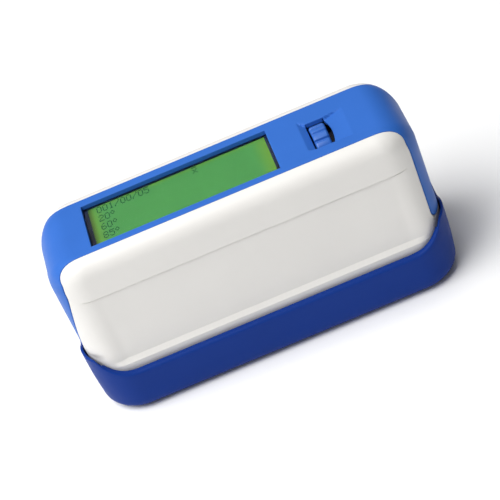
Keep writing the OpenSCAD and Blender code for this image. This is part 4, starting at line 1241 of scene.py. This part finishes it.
CARRIED = {
    rubber: ("holder_feet", "tile_pad"),
    glass_black: ("calibration_tile",),
    black_plastic: ("tile_frame", "chassis", "operate_switch", "battery_tray",
                    "wheel_bracket", "wheel_switch", "wheel_carrier", "wheel_encoder",
                    "board_components"),
    recess_shade_navy: ("display_frame",),
    base_grey: ("base_plate",),
    steel: ("tile_screws", "housing_screws", "base_screws", "chassis_screws", "usb_socket",
            "door_pin", "wheel_axle", "wheel_spring", "detector_20", "detector_60", "detector_85"),
    window_clear: ("display_window", "source_lenses", "receiver_lenses"),
    screen_green: ("display_panel",),
    light_guide: ("display_backlight", "lamp_20", "lamp_60", "lamp_85"),
    board: ("display_board", "main_board", "side_board", "wheel_board"),
    anodised: ("optics_block",),
    wrap: ("battery_cell",),
    nickel: ("contact_plate", "contact_spring"),
}


def paint_carried_nodes():
    for material, names in CARRIED.items():
        for name in names:
            mesh = nodes[name].data
            mesh.materials.clear()
            mesh.materials.append(material)


# ---- camera, floor and light ------------------------------------------------

CAMERA_AZIMUTH = math.radians(1.394)
CAMERA_ELEVATION = math.radians(38.805)
CAMERA_ROLL = math.radians(-23.45)
CAMERA_AIM = (-0.063, -2.519, 36.871)
CAMERA_DISTANCE = 747.08
CAMERA_LENS = 132.48


def add_camera():
    cosine = math.cos(CAMERA_ELEVATION)
    back = Vector((math.sin(CAMERA_AZIMUTH) * cosine, -math.cos(CAMERA_AZIMUTH) * cosine,
                   math.sin(CAMERA_ELEVATION)))
    right = Vector((math.cos(CAMERA_AZIMUTH), math.sin(CAMERA_AZIMUTH), 0))
    up = back.cross(right)
    image_right = right * math.cos(CAMERA_ROLL) + up * math.sin(CAMERA_ROLL)
    image_up = back.cross(image_right)
    data = bpy.data.cameras.new("camera")
    data.lens = CAMERA_LENS
    data.sensor_width = 36
    data.clip_start = 0.01
    data.clip_end = 20
    camera = bpy.data.objects.new("camera", data)
    turn = Matrix((image_right, image_up, back)).transposed().to_4x4()
    place = Matrix.Translation((Vector(CAMERA_AIM) + back * CAMERA_DISTANCE) * MM)
    camera.matrix_world = place @ turn
    bpy.context.scene.collection.objects.link(camera)
    bpy.context.scene.camera = camera


def add_floor():
    size, steps = 2.4, 24
    line = np.linspace(-size, size, steps + 1)
    x, y = np.meshgrid(line, line)
    points = np.stack([x, y, np.zeros_like(x)], -1).reshape(-1, 3) / MM
    faces = grid_faces(steps + 1, steps + 1)
    floor = make_object("floor", points, faces)
    n = Nodes("floor_paper")
    tinted(n, 8.0, (0.93, 0.93, 0.93), (0.95, 0.95, 0.95))
    n.set(Roughness=0.9, Specular_IOR_Level=0.0)
    floor.data.materials.append(n.material)


def add_light(name, energy, size, place, aim=(0, 0, 0.04)):
    data = bpy.data.lights.new(name, "AREA")
    data.energy = energy
    data.shape = "RECTANGLE"
    data.size, data.size_y = size
    light = bpy.data.objects.new(name, data)
    light.location = place
    light.rotation_euler = (Vector(aim) - Vector(place)).to_track_quat("-Z", "Y").to_euler()
    bpy.context.scene.collection.objects.link(light)


WORLD_STRENGTH = 0.42
WORLD_RIGHT_SHARE = 0.15  # how bright the room is on the right, beside the left


def add_world():
    world = bpy.data.worlds.new("studio")
    bpy.context.scene.world = world
    world.use_nodes = True
    background = world.node_tree.nodes["Background"]
    background.inputs["Strength"].default_value = WORLD_STRENGTH
    tree = world.node_tree
    where = tree.nodes.new("ShaderNodeTexCoord")
    split = tree.nodes.new("ShaderNodeSeparateXYZ")
    fade = tree.nodes.new("ShaderNodeMapRange")
    for key, value in (("From Min", -0.5), ("From Max", 0.7), ("To Max", WORLD_RIGHT_SHARE)):
        fade.inputs[key].default_value = value
    fade.inputs["To Min"].default_value = 1.0
    tree.links.new(where.outputs["Generated"], split.inputs["Vector"])
    tree.links.new(split.outputs["X"], fade.inputs["Value"])
    tree.links.new(fade.outputs["Result"], background.inputs["Color"])
    bpy.context.scene.view_settings.view_transform = "Standard"


build_front_shell()
build_rear_shell()
build_battery_door()
build_top_cover()
build_scroll_wheel()
build_operate_button()
build_holder_shell()
build_figures()
paint_carried_nodes()
add_camera()
add_floor()
add_world()
add_light("key", 24.0, (1.1, 1.1), (-0.62, -0.25, 1.25))
add_light("rear_fill", 5.0, (1.2, 1.0), (0.3, 0.75, 1.9), (0, 0.5, 0))
